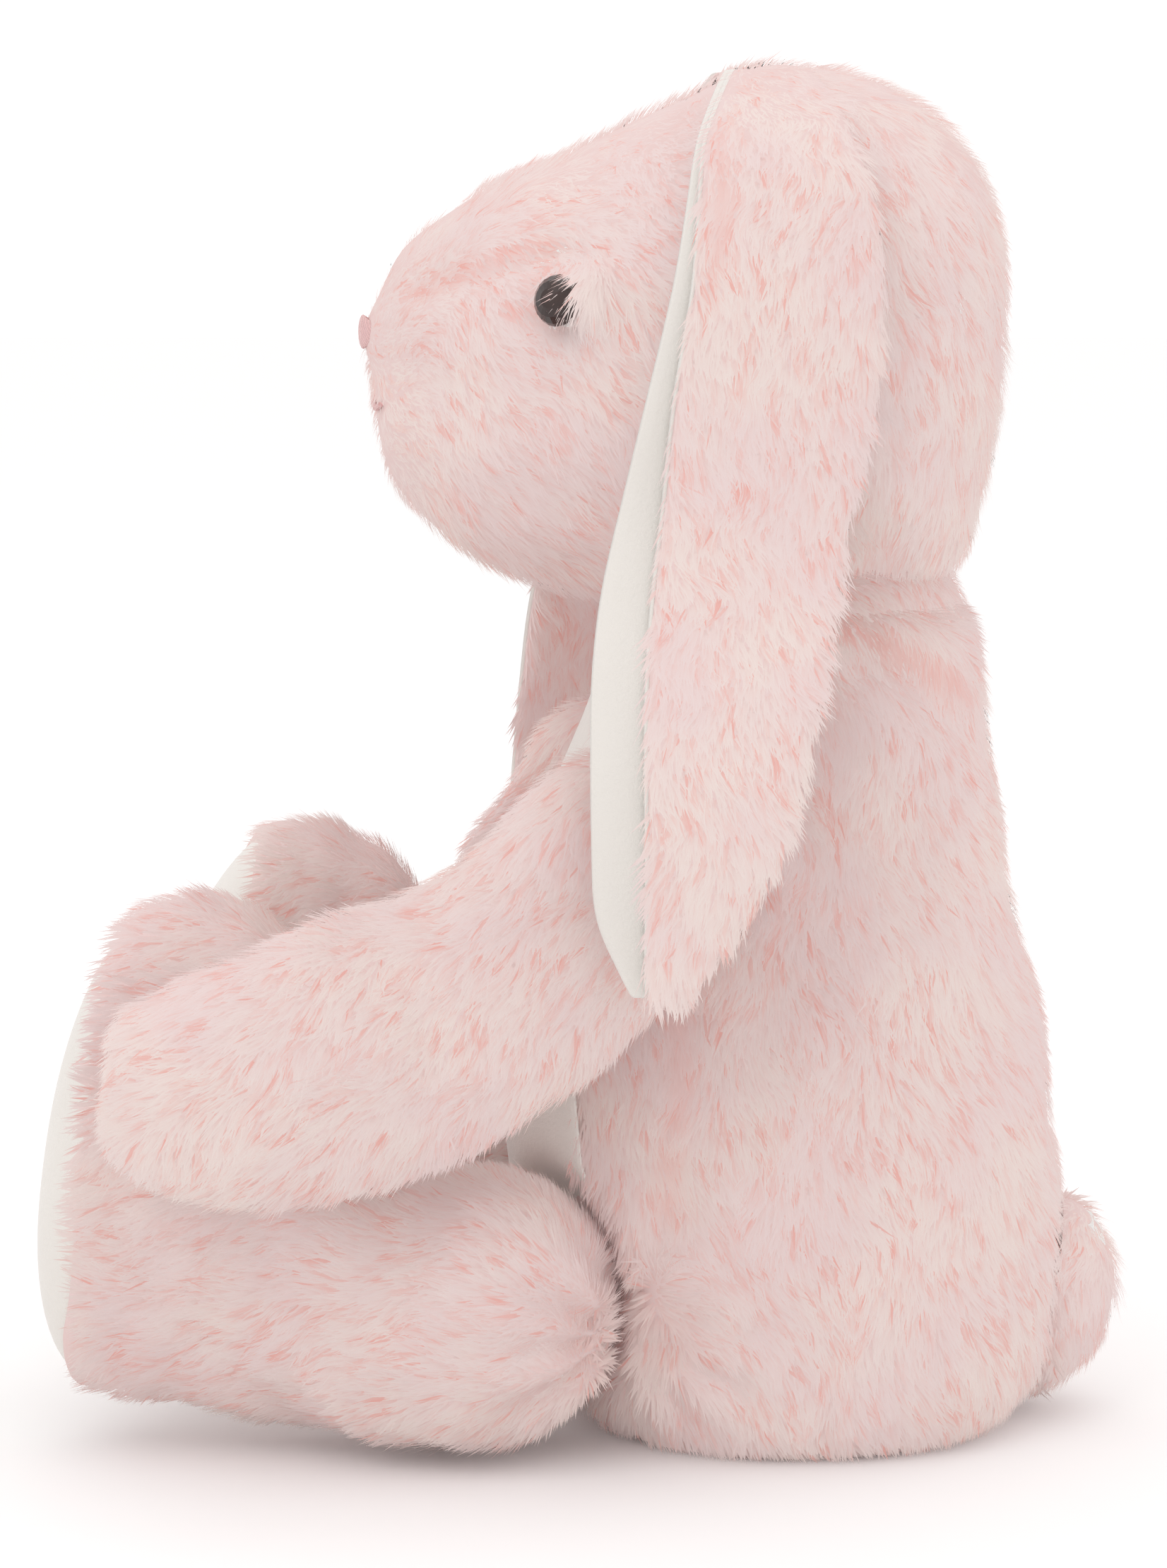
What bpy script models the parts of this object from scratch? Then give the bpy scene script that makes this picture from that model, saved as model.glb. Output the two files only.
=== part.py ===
"""Seated plush bunny with lop ears, made of sewn panels over separate stuffing cores.

Metres, +Z up, the bunny faces -Y and its left side is +X. The origin is on the
surface it sits on, under the middle of the object.
"""
import math

import bmesh
import bpy
from mathutils import Matrix, Vector

MM = 0.001
CLOTH = 1.2            # thickness of the sewn plush panels
THIN_CLOTH = 0.8       # thickness of the smooth lining fabric
SEAM = 0.8             # gap left between two panels at a seam
CORE = 3.9             # how far the head core lies under its cover
BODY_CORE = 5.0        # the same for the body, and for the limbs
LEG_CORE = 6.2
ARM_CORE = 3.4

# Head: side outline around HEAD_C as (forward/back, up), and its half width.
HEAD_C = (38.0, 213.0)
HEAD_OUTLINE = [
    (-41.0, 215.0), (-39.0, 222.0), (-35.0, 232.0), (-24.0, 240.5), (-6.0, 250.0),
    (16.0, 262.6), (36.0, 270.4), (48.0, 269.6), (62.0, 265.4), (77.0, 253.0),
    (83.2, 240.0), (85.0, 215.0), (84.6, 200.0), (81.0, 182.0), (76.0, 168.0),
    (60.0, 160.0), (40.0, 157.0), (18.0, 157.5), (2.0, 160.5), (-19.0, 169.2),
    (-31.0, 178.5), (-38.0, 187.5), (-40.3, 197.0), (-40.0, 207.0),
]
HEAD_WIDTH = [(-42, 31), (-32, 35), (-20, 39), (-6, 43.5), (10, 48), (30, 50.5), (50, 51), (70, 49), (86, 46)]
GUSSET_EDGE = [(-80, 0.76), (-50, 0.74), (-10, 0.73), (30, 0.76), (70, 0.72), (95, 0.70),
               (120, 0.68), (150, 0.67), (163, 0.72), (172, 0.86), (178, 0.965)]
NECK_PIVOT = (0.0, 41.0, 149.5)
NECK_BALL_R = 39.1
NECK_SOCKET_R = 39.8
NECK_BASE_Z = 157.6

# Torso slices: height, back, front, half width.
TORSO = [
    (0, 79, 4, 45), (4, 88, -3, 51.5), (12, 93.5, -8, 55.5), (25, 96.0, -12, 57.5), (45, 97.0, -16, 57.5),
    (65, 96.0, -18, 55.5), (85, 92.0, -17, 51.5), (105, 87.0, -14, 47.5), (125, 84.0, -8, 43.5),
    (142, 81.3, -1, 40), (152, 80.0, 2.0, 38.5), (157, 79.0, 3.0, 37.8),
]
TORSO_TOP = 157.0
SEAT_SEAM_Z = 12.0
BELLY_EDGE = [(12, 38), (30, 44), (60, 47), (100, 40), (135, 28), (157, 18)]   # degrees from the front
HIP_Z = 30.0
HIP_X = 42.0
HIP_Y = {1: -22.0, -1: -12.0}
HIP_POCKET_R = 31.8
LEG_ROOT_R = 29.4
LEG_TOE_IN = 10.0
LEG_PITCH = {1: 0.0, -1: 7.5}
# Leg sections along the leg: distance from the hip, bottom, top, half width.
LEG = [
    (0, 0.7, 59.4, 28.4), (14, 1.4, 60.4, 27.8), (20, 2.1, 66.0, 26.4), (26, 2.9, 82.0, 24.6),
    (31, 3.5, 97.0, 23.6), (37, 4.4, 104.0, 23.4), (43, 5.2, 107.5, 23.7), (52, 6.4, 110.5, 24.2),
    (58, 7.4, 111.2, 24.3), (64, 8.6, 110.5, 24.1), (70, 10.2, 108.0, 23.3), (73, 12.2, 105.5, 21.8),
]
SOLE_TILT = 7.0
SOLE_BULGE = 10.5

SHOULDER = (7.0, 116.5)
# Arm stations along the arm: sideways, forward/back, up, half height, half thickness.
ARM = {
    1: [(60.0, 7.0, 116.5, 24.6, 13.4), (60.6, -10.0, 99.8, 25.0, 13.8), (63.0, -26.0, 90.0, 26.4, 14.8),
        (70.9, -42.0, 84.2, 27.2, 15.4), (76.6, -58.0, 80.8, 25.4, 15.7), (77.7, -73.0, 79.6, 22.0, 15.2),
        (77.8, -83.0, 80.4, 15.8, 12.6)],
    -1: [(60.0, 7.0, 116.5, 22.6, 13.4), (62.6, -6.0, 96.0, 21.8, 12.8), (70.6, -17.5, 79.0, 21.8, 13.2),
         (76.6, -31.0, 69.4, 22.2, 13.8), (78.6, -47.0, 65.0, 22.2, 14.1), (78.8, -63.0, 64.0, 20.6, 14.0),
         (78.8, -73.5, 65.0, 15.4, 12.4)],
}

# Ear: height, centre plane, front edge of the inner flap, front edge of the outer flap, rear fold.
EAR = [
    (252, 47.0, 21.0, 22.0, 51.0), (240, 53.4, 19.0, 21.0, 54.6), (225, 57.0, 16.4, 19.8, 55.6),
    (205, 58.6, 11.6, 16.4, 54.6), (186, 61.0, 7.0, 14.4, 50.2), (170, 67.6, 3.2, 12.4, 47.0),
    (155, 77.0, 1.4, 11.2, 44.0), (140, 83.0, 1.2, 11.0, 40.8), (125, 85.4, 1.4, 11.2, 36.6),
    (112, 86.0, 2.2, 11.2, 30.0), (102, 86.0, 6.4, 11.2, 22.4), (97, 86.0, 9.0, 11.4, 19.0),
]
EAR_HALF = 3.0
EAR_LINING_HALF = 1.4
EAR_PIVOT = (46.0, 36.0, 252.0)
RIGHT_EAR_SHIFT = 3.0
RIGHT_EAR_SWING = 0.105

EYE_Y, EYE_Z = -4.4, 222.5
TAIL_Z = 24.0
TAIL_R = 20.5
TAIL_DEPTH = 9.45


def start_scene():
    for ob in list(bpy.data.objects):
        bpy.data.objects.remove(ob, do_unlink=True)
    for col in list(bpy.data.collections):
        bpy.data.collections.remove(col)
    parts = bpy.data.collections.new("plush_bunny")
    cutters = bpy.data.collections.new("plush_bunny_cutters")
    for col in (parts, cutters):
        bpy.context.scene.collection.children.link(col)
    return parts, cutters


PARTS, CUTTERS = start_scene()
MATERIALS = {}


def material(name, rgb, rough):
    if name not in MATERIALS:
        mat = bpy.data.materials.new(name)
        mat.use_nodes = True
        bsdf = mat.node_tree.nodes["Principled BSDF"]
        bsdf.inputs["Base Color"].default_value = (*rgb, 1.0)
        bsdf.inputs["Roughness"].default_value = rough
        bsdf.inputs["Metallic"].default_value = 0.0
        MATERIALS[name] = mat
    return MATERIALS[name]


PINK = (0.76, 0.60, 0.58)
CREAM = (0.79, 0.76, 0.72)
FIBRE = (0.86, 0.85, 0.83)
DARK = (0.045, 0.03, 0.028)
THREAD = (0.55, 0.24, 0.26)
PLASTIC = (0.80, 0.80, 0.78)
LINEN = (0.70, 0.66, 0.58)


def curve_through(table, x, col=1):
    """Smooth value of a table's column at x, with level ends."""
    if x <= table[0][0]:
        return table[0][col]
    if x >= table[-1][0]:
        return table[-1][col]
    i = max(k for k in range(len(table) - 1) if table[k][0] <= x)
    x0, x1 = table[i][0], table[i + 1][0]

    def slope(k):
        a, b = max(k - 1, 0), min(k + 1, len(table) - 1)
        return (table[b][col] - table[a][col]) / (table[b][0] - table[a][0])

    h = x1 - x0
    t = (x - x0) / h
    y0, y1 = table[i][col], table[i + 1][col]
    m0, m1 = slope(i) * h, slope(i + 1) * h
    return ((2 * t ** 3 - 3 * t * t + 1) * y0 + (t ** 3 - 2 * t * t + t) * m0
            + (-2 * t ** 3 + 3 * t * t) * y1 + (t ** 3 - t * t) * m1)


def curve_steps(table, x):
    """Straight-line value of a table at x."""
    for (x0, y0), (x1, y1) in zip(table, table[1:]):
        if x <= x1:
            return y0 + (y1 - y0) * (x - x0) / (x1 - x0)
    return table[-1][1]


def spow(v, p):
    return math.copysign(abs(v) ** p, v)


def finish(ob, mat, parts=True):
    (PARTS if parts else CUTTERS).objects.link(ob)
    if not parts:
        ob.hide_render = True
        ob.display_type = "WIRE"
    else:
        ob.data.materials.append(mat)
    return ob


def mesh_object(name, bm, mat, smooth=True, parts=True):
    me = bpy.data.meshes.new(name)
    bm.to_mesh(me)
    bm.free()
    if smooth:
        me.shade_smooth()
    return finish(bpy.data.objects.new(name, me), mat, parts)


def place(ob, point):
    """Put the object's origin on a point, keeping its shape where it is."""
    p = Vector(point) * MM
    ob.data.transform(Matrix.Translation(-p))
    ob.location = p
    return ob


def panel(name, mat, surface, nu, nv, inside, thickness=CLOTH, offset=-1.0):
    """A sewn cloth panel: a grid laid on surface(u, v), given thickness inwards."""
    bm = bmesh.new()
    bmesh.ops.create_grid(bm, x_segments=nu, y_segments=nv, size=0.5)
    for v in bm.verts:
        v.co = Vector(surface(min(max(v.co.x + 0.5, 0), 1), min(max(v.co.y + 0.5, 0), 1))) * MM
    bmesh.ops.remove_doubles(bm, verts=bm.verts, dist=2e-5)
    bm.normal_update()
    c = Vector(inside) * MM
    if sum(f.normal.dot(f.calc_center_median() - c) * f.calc_area() for f in bm.faces) < 0:
        bmesh.ops.reverse_faces(bm, faces=bm.faces)
    ob = mesh_object(name, bm, mat)
    mod = ob.modifiers.new("cloth", "SOLIDIFY")
    mod.thickness = thickness * MM
    mod.offset = offset
    mod.use_quality_normals = True
    return ob


def core(name, mat, surface, nu, nv):
    """A closed stuffing core: a sphere's points sent to surface(angle, -1..1)."""
    bm = bmesh.new()
    bmesh.ops.create_uvsphere(bm, u_segments=nu, v_segments=nv, radius=1.0)
    for v in bm.verts:
        lat = math.asin(max(-1.0, min(1.0, v.co.z))) / (math.pi / 2)
        v.co = Vector(surface(math.atan2(v.co.y, v.co.x), lat)) * MM
    bm.normal_update()
    if bm.calc_volume(signed=True) < 0:
        bmesh.ops.reverse_faces(bm, faces=bm.faces)
    return mesh_object(name, bm, mat)


def cut(ob, cutter, name):
    mod = ob.modifiers.new(name, "BOOLEAN")
    mod.object = cutter
    mod.operation = "DIFFERENCE"


# ---------------------------------------------------------------- head
def polar_outline():
    cy, cz = HEAD_C
    pts = sorted((math.degrees(math.atan2(z - cz, y - cy)) % 360, math.hypot(y - cy, z - cz))
                 for y, z in HEAD_OUTLINE)
    return [(a - 360, r) for a, r in pts[-3:]] + pts + [(a + 360, r) for a, r in pts[:3]]


HEAD_POLAR = polar_outline()


def head_point(deg, t, side, shrink=0.0):
    r = (curve_through(HEAD_POLAR, deg % 360) - shrink) * t
    y = HEAD_C[0] + r * math.cos(math.radians(deg))
    z = HEAD_C[1] + r * math.sin(math.radians(deg))
    w = curve_through(HEAD_WIDTH, y) - shrink
    low = max(0.0, min(1.0, (z - 150) / 40))
    w *= 0.86 + 0.14 * low
    return (side * w * max(0.0, 1 - t ** 2.5) ** 0.5, y, z)


def gusset_edge(deg):
    d = (deg + 90) % 360 - 90
    return curve_through(GUSSET_EDGE, d) if -80 <= d <= 178 else 1.0


def head_side_at(y, z, side, shrink=0.0):
    cy, cz = HEAD_C
    deg = math.degrees(math.atan2(z - cz, y - cy))
    t = math.hypot(y - cy, z - cz) / (curve_through(HEAD_POLAR, deg % 360) - shrink)
    return Vector(head_point(deg, t, side, shrink))


def cheek_surface(side):
    def f(u, v):
        # closer steps round the nose, where the gusset narrows to a point
        deg = curve_steps([(0, -80), (0.58, 150), (0.82, 204), (1, 280)], u)
        edge = gusset_edge(deg) if deg < 178.5 else 1.0
        edge = edge - (0.03 if deg > 140 else 0.013) if edge < 1 else 1.0
        x, y, z = head_point(deg, math.sin(v * math.asin(edge)), side)
        return (side * max(abs(x), SEAM), y, z)
    return f


def gusset_surface(u, v):
    deg = curve_steps([(0, -78), (0.68, 140), (1, 177)], u)
    s = 2 * v - 1
    edge = gusset_edge(deg)
    return head_point(deg, 1 - (1 - edge) * s * s, 1 if s >= 0 else -1)


def build_head():
    ball = bmesh.new()
    bmesh.ops.create_uvsphere(ball, u_segments=36, v_segments=20, radius=NECK_SOCKET_R * MM,
                              matrix=Matrix.Translation(Vector(NECK_PIVOT) * MM))
    socket = mesh_object("neck_socket_cutter", ball, None, parts=False)
    plush = material("pink_plush", PINK, 0.95)
    inside = (0, HEAD_C[0], HEAD_C[1])
    gusset = panel("head_gusset", plush, gusset_surface, 28, 6, inside)
    cut(gusset, socket, "neck")
    stuffing = core("head_stuffing", material("head_fibre", FIBRE, 0.95), head_core, 24, 14)
    cut(stuffing, socket, "neck")
    pieces = [gusset, stuffing]
    for side, word in ((1, "left"), (-1, "right")):
        cheek = panel(word + "_cheek", material(word + "_cheek_plush", PINK, 0.95), cheek_surface(side),
                      34, 5, inside)
        cut(cheek, socket, "neck")
        pieces.append(cheek)
        pieces += build_eye(side, word, cheek, stuffing)
    pieces += build_nose()
    for ob in pieces:
        place(ob, NECK_PIVOT)


def head_core(angle, lat):
    # the sphere's axis runs across the head, from one side pole to the other
    t = max(0.0, math.cos(lat * math.pi / 2))
    return head_point(math.degrees(angle), t, 1 if lat >= 0 else -1, CORE)


def turned(name, mat, profile, frame, closed=False, parts=True):
    """A turned solid from a profile of (radius, height), on the frame's Z axis."""
    bm = bmesh.new()
    verts = [bm.verts.new((r * MM, 0, h * MM)) for r, h in profile]
    for a, b in zip(verts, verts[1:]):
        bm.edges.new((a, b))
    if closed:
        bm.edges.new((verts[-1], verts[0]))
    ob = mesh_object(name, bm, mat, parts=parts)
    mod = ob.modifiers.new("turn", "SCREW")
    mod.axis = "Z"
    mod.steps = 20
    mod.render_steps = 20
    mod.use_merge_vertices = True
    mod.merge_threshold = 1e-5
    ob.matrix_world = frame
    return ob


def frame_on_head(y, z, side):
    p = head_side_at(y, z, side)
    du = head_side_at(y + 2, z, side) - head_side_at(y - 2, z, side)
    dv = head_side_at(y, z + 2, side) - head_side_at(y, z - 2, side)
    n = du.cross(dv).normalized() * 1.0
    if n.x * side < 0:
        n = -n
    rot = n.to_track_quat("Z", "Y").to_matrix().to_4x4()
    return Matrix.Translation((p + n * 0.4) * MM) @ rot


def build_eye(side, word, cheek, stuffing):
    frame = frame_on_head(EYE_Y, EYE_Z, side)
    dark = material(word + "_eye_plastic", DARK, 0.12)
    eye = turned(word + "_eye", dark, [(0, 4.0), (1.9, 3.75), (3.5, 2.9), (4.6, 1.6), (5.0, 0.5), (4.7, 0.1),
                                       (1.5, 0.1), (1.5, -6.2), (0, -6.2)], frame)
    washer = turned(word + "_eye_washer", material(word + "_washer_plastic", PLASTIC, 0.5),
                    [(1.9, -3.0), (4.6, -3.0), (4.6, -4.1), (1.9, -4.1)], frame, closed=True)
    for target, r, top, low in ((cheek, 2.0, 3.0, -5.0), (stuffing, 5.6, 3.0, -8.0)):
        bm = bmesh.new()
        bmesh.ops.create_cone(bm, cap_ends=True, segments=20, radius1=r * MM, radius2=r * MM,
                              depth=(top - low) * MM, matrix=Matrix.Translation((0, 0, (top + low) / 2 * MM)))
        bm.transform(frame)
        cutter = mesh_object(f"{word}_eye_cutter_{target.name}", bm, None, parts=False)
        cut(target, cutter, word + "_eye")
    for ob in (eye, washer):
        ob.data.transform(ob.matrix_world)
        ob.matrix_world = Matrix.Identity(4)
        ob.modifiers["turn"].object = axis_empty(frame, word + "_eye_axis")
    return [eye, washer]


def axis_empty(frame, name):
    e = bpy.data.objects.get(name)
    if e is None:
        e = bpy.data.objects.new(name, None)
        e.matrix_world = frame
        CUTTERS.objects.link(e)
    return e


def build_nose():
    thread = material("nose_thread", THREAD, 0.7)
    bm = bmesh.new()
    bmesh.ops.create_uvsphere(bm, u_segments=16, v_segments=8, radius=1.0)
    for v in bm.verts:
        x = v.co.x * 6.0
        z = v.co.z * 3.4 * (1 - 0.25 * abs(v.co.x))
        v.co = Vector((x, -43.2 + v.co.y * 1.0 + 0.10 * x * x, 215.4 + z)) * MM
    nose = mesh_object("nose_stitching", bm, thread)

    def on_face(x, z):
        """The face's front surface at a sideways offset and height, 0.9 outside it."""
        cy, cz = HEAD_C
        best = None
        for k in range(160):
            y = -44 + k * 0.25
            deg = math.degrees(math.atan2(z - cz, y - cy))
            t = math.hypot(y - cy, z - cz) / curve_through(HEAD_POLAR, deg % 360)
            if t <= 1 and abs(head_point(deg, t, 1)[0]) >= abs(x):
                best = y
                break
        return (x, (best if best is not None else -38) - 1.1, z)

    lines = {"philtrum_thread": [(0, 210.6), (0, 207.6), (0, 204.6)],
             "mouth_thread": [(-7.5, 201.5), (-5, 200.6), (-2.5, 201.3), (0, 203.0), (2.5, 201.3), (5, 200.6),
                              (7.5, 201.5)]}
    made = [nose]
    for name, pts in lines.items():
        cu = bpy.data.curves.new(name, "CURVE")
        cu.dimensions = "3D"
        sp = cu.splines.new("POLY")
        sp.points.add(len(pts) - 1)
        for p, (x, z) in zip(sp.points, pts):
            p.co = (*(Vector(on_face(x, z)) * MM), 1)
        cu.bevel_depth = 0.55 * MM
        cu.bevel_resolution = 1
        cu.use_fill_caps = True
        ob = bpy.data.objects.new(name, cu)
        CUTTERS.objects.link(ob)
        deps = bpy.context.evaluated_depsgraph_get()
        me = bpy.data.meshes.new_from_object(ob.evaluated_get(deps))
        bpy.data.objects.remove(ob, do_unlink=True)
        bm = bmesh.new()
        bm.from_mesh(me)
        bmesh.ops.remove_doubles(bm, verts=bm.verts, dist=1e-5)
        made.append(mesh_object(name, bm, material(name + "_floss", THREAD, 0.7)))
    return made


# ---------------------------------------------------------------- ears
def ear_surface(side, half, lining):
    def f(u, v):
        i = v * (len(EAR) - 1)
        k = min(int(i), len(EAR) - 2)
        h = i - k
        z = EAR[k][0] * (1 - h) + EAR[k + 1][0] * h
        rows = [(len(EAR) - 1 - n, *row) for n, row in enumerate(EAR)][::-1]
        pos = len(EAR) - 1 - i
        xm, yi, yo, yr = (curve_through(rows, pos, c) for c in (2, 3, 4, 5))
        inset = 0.6 if lining else 0.0
        turn = yr - EAR_HALF
        if u < 0.4:
            y, x = yo + inset + (turn - yo - inset) * u / 0.4, xm + half
        elif u > 0.6:
            y, x = turn + (yi + inset - turn) * (u - 0.6) / 0.4, xm - half
        else:
            a = math.pi * (u - 0.4) / 0.2
            y, x = turn + half * math.sin(a), xm + half * math.cos(a)
        if side < 0:
            y -= RIGHT_EAR_SHIFT + (252 - z) * RIGHT_EAR_SWING
        return (side * x, y, z)
    return f


def build_ears():
    for side, word in ((1, "left"), (-1, "right")):
        pivot = (side * EAR_PIVOT[0], EAR_PIVOT[1], EAR_PIVOT[2])
        inside = (side * 60, 30, 180)
        outer = panel(word + "_ear_outer", material(word + "_ear_plush", PINK, 0.95),
                      ear_surface(side, EAR_HALF, False), 12, 13, inside, 1.5, 0.0)
        lining = panel(word + "_ear_lining", material(word + "_ear_cloth", CREAM, 0.9),
                       ear_surface(side, EAR_LINING_HALF, True), 10, 13, inside, THIN_CLOTH, 0.0)
        for ob in (outer, lining):
            place(ob, pivot)


# ---------------------------------------------------------------- body
def pocket_radius(z):
    if z >= HIP_Z + HIP_POCKET_R:
        return 0.0
    if z >= 15.0:
        return math.sqrt(HIP_POCKET_R ** 2 - (z - HIP_Z) ** 2)
    return math.sqrt(HIP_POCKET_R ** 2 - 15.0 ** 2) - (15.0 - z) * math.tan(math.radians(30))


def torso_point(a, z, shrink=0.0):
    """A point of the body at a angle from the front (radians, left is positive) and a height."""
    back, front, rx = (curve_through(TORSO, z, c) for c in (1, 2, 3))
    cy, ry = (back + front) / 2, (back - front) / 2
    x = (rx - shrink) * spow(math.sin(a), 2 / 2.3)
    y = cy - (ry - shrink) * spow(math.cos(a), 2 / 2.3)
    r = pocket_radius(z)
    for side in (1, -1):
        if r <= 0:
            break
        rr = r + shrink
        dx, dy = x, y - cy
        ox, oy = -side * HIP_X, cy - HIP_Y[side]
        qa, qb, qc = dx * dx + dy * dy, 2 * (dx * ox + dy * oy), ox * ox + oy * oy - rr * rr
        disc = qb * qb - 4 * qa * qc
        if disc > 0:
            s = (-qb - math.sqrt(disc)) / (2 * qa)
            if 0 < s < 1:
                x, y = x * s, cy + dy * s
    return (x, y, z)


def belly_angle(z):
    return math.radians(curve_through(BELLY_EDGE, z))


def wall_z(v):
    # closer steps over the hips
    return curve_steps([(0, SEAT_SEAM_Z + SEAM), (0.56, 66.0), (1, TORSO_TOP)], v)


def side_panel_surface(side):
    def f(u, v):
        z = wall_z(v)
        a0, a1 = belly_angle(z) + 0.014, math.pi - 0.006
        return torso_point(side * (a0 + (a1 - a0) * u), z)
    return f


def belly_surface(u, v):
    z = wall_z(v)
    a = belly_angle(z) - 0.004
    return torso_point(a * (2 * u - 1), z)


def seat_surface(u, v):
    a = 2 * math.pi * u
    if v <= 0.55:
        x, y, _ = torso_point(a, 0.0)
        cy = (TORSO[0][1] + TORSO[0][2]) / 2
        return (x * v / 0.55, cy + (y - cy) * v / 0.55, 0.0)
    return torso_point(a, SEAT_SEAM_Z * ((v - 0.55) / 0.45) ** 1.3)


def body_core(angle, lat):
    low, high = 35.0, TORSO_TOP - 1.0
    flat = 0.62
    f = min(1.0, (1 - abs(lat)) / (1 - flat)) if abs(lat) > flat else 1.0
    z = low + (high - low) * min(1.0, max(0.0, (lat / flat + 1) / 2))
    cy = (curve_through(TORSO, z, 1) + curve_through(TORSO, z, 2)) / 2
    x, y, _ = torso_point(angle, z, BODY_CORE)
    return (x * f, cy + (y - cy) * f, z)


def pouch_core(angle, lat):
    z = 17.0 + 14.5 * math.sin(lat * math.pi / 2)
    f = max(0.0, math.cos(lat * math.pi / 2)) ** 0.5
    cy = 44.0
    x, y, _ = torso_point(angle, 14.0, 5.5)
    return (x * f * 0.97, cy + (y - cy) * f * 0.97, z)


def build_body():
    inside = (0, 40, 80)
    for side, word in ((1, "left"), (-1, "right")):
        panel(word + "_body_panel", material(word + "_body_plush", PINK, 0.95), side_panel_surface(side),
              10, 16, inside)
        tack = bmesh.new()
        x0 = max(abs(torso_point(side * math.radians(a), SHOULDER[1])[0]) for a in range(40, 75)
                 if abs(torso_point(side * math.radians(a), SHOULDER[1])[1] - SHOULDER[0]) < 3) + 1.6
        x1 = ARM[side][0][0] - ARM[side][0][4] - 0.8
        bmesh.ops.create_cone(tack, cap_ends=True, segments=16, radius1=3.2 * MM, radius2=3.2 * MM,
                              depth=(x1 - x0) * MM,
                              matrix=Matrix.Translation(Vector((side * (x0 + x1) / 2, *SHOULDER)) * MM)
                              @ Matrix.Rotation(math.pi / 2, 4, "Y"))
        mesh_object(word + "_shoulder_tack", tack, material(word + "_tack_thread", THREAD, 0.8))
    panel("belly_panel", material("belly_cloth", CREAM, 0.9), belly_surface, 12, 16, inside)
    panel("seat_panel", material("seat_plush", PINK, 0.95), seat_surface, 32, 5, (0, 40, 30))
    core("body_stuffing", material("body_fibre", FIBRE, 0.95), body_core, 24, 12)
    core("pellet_pouch", material("pouch_linen", LINEN, 0.9), pouch_core, 20, 8)
    bm = bmesh.new()
    bmesh.ops.create_uvsphere(bm, u_segments=28, v_segments=20, radius=NECK_BALL_R * MM,
                              matrix=Matrix.Translation(Vector(NECK_PIVOT) * MM))
    geom = bm.verts[:] + bm.edges[:] + bm.faces[:]
    cutr = bmesh.ops.bisect_plane(bm, geom=geom, plane_co=(0, 0, NECK_BASE_Z * MM), plane_no=(0, 0, 1),
                                  clear_inner=True)
    bmesh.ops.holes_fill(bm, edges=[e for e in cutr["geom_cut"] if isinstance(e, bmesh.types.BMEdge)])
    bmesh.ops.recalc_face_normals(bm, faces=bm.faces)
    neck = mesh_object("neck_plush", bm, material("neck_pile", PINK, 0.95))
    place(neck, NECK_PIVOT)


# ---------------------------------------------------------------- limbs
def oval(a, centre, across, up, half_w, half_h, power=2.3):
    return centre + across * (half_w * spow(math.sin(a), 2 / power)) + up * (half_h * spow(math.cos(a), 2 / power))


def leg_frame(side):
    toe = math.radians(LEG_TOE_IN)
    along = Vector((-side * math.sin(toe), -math.cos(toe), 0))
    across = Vector((side * math.cos(toe), -math.sin(toe), 0))
    hip = Vector((side * HIP_X, HIP_Y[side], HIP_Z))
    turn = Matrix.Translation(hip) @ Matrix.Rotation(-math.radians(LEG_PITCH[side]), 4, "X")
    return turn, along, across


def leg_point(side, s, a, shrink=0.0, lift=0.0):
    """A point of the leg at a distance from the hip and an angle round it (0 on top, pi/2 outside)."""
    turn, along, across = leg_frame(side)
    if s < 0:
        r = math.sqrt(max(0.0, LEG_ROOT_R ** 2 - s * s)) - shrink
        w, h, cz = r * 0.965, r, 0.0
    else:
        low, high, w = (curve_through(LEG, s, c) for c in (1, 2, 3))
        h, cz, w = (high - low) / 2 - shrink, (high + low) / 2 - HIP_Z, w - shrink
    z = h * spow(math.cos(a), 2 / 2.3) + cz
    tilt = SOLE_TILT * (max(0.0, s) / 73.0) ** 2 * (z - 28.0) / 50.0
    p = along * (s - tilt + lift) + across * (w * spow(math.sin(a), 2 / 2.3)) + Vector((0, 0, z))
    return turn @ p


def leg_panel_surface(side, outer):
    _, _, across = leg_frame(side)
    off = across * (SEAM / 2 * (1 if outer else -1))

    def f(u, v):
        a = math.pi * u * (1 if outer else -1)
        # even steps, closer together round the ankle
        s = -28.6 + (72.6 + 28.6) * v
        return leg_point(side, s, a) + off
    return f


def sole_surface(side):
    def f(u, v):
        a = 2 * math.pi * u
        edge = leg_point(side, 73.0, a, 0.4)
        mid = leg_point(side, 73.0, 0) * 0.46 + leg_point(side, 73.0, math.pi) * 0.54
        _, along, _ = leg_frame(side)
        p = mid + (edge - mid) * v + along * (0.9 + SOLE_BULGE * (1 - v ** 2.4) ** 0.9)
        return p
    return f


def leg_core(side):
    low, high = -LEG_ROOT_R + LEG_CORE, 71.0

    def f(angle, lat):
        # the last steps at each end close the core with a flat cap
        body = 0.8
        s = low + (high - low) * min(1.0, max(0.0, (lat / body + 1) / 2))
        shut = min(1.0, (1 - abs(lat)) / (1 - body)) if abs(lat) > body else 1.0
        p = leg_point(side, s, angle, LEG_CORE)
        q = (leg_point(side, s, 0, LEG_CORE) + leg_point(side, s, math.pi, LEG_CORE)) * 0.5
        return q + (p - q) * shut
    return f


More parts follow.
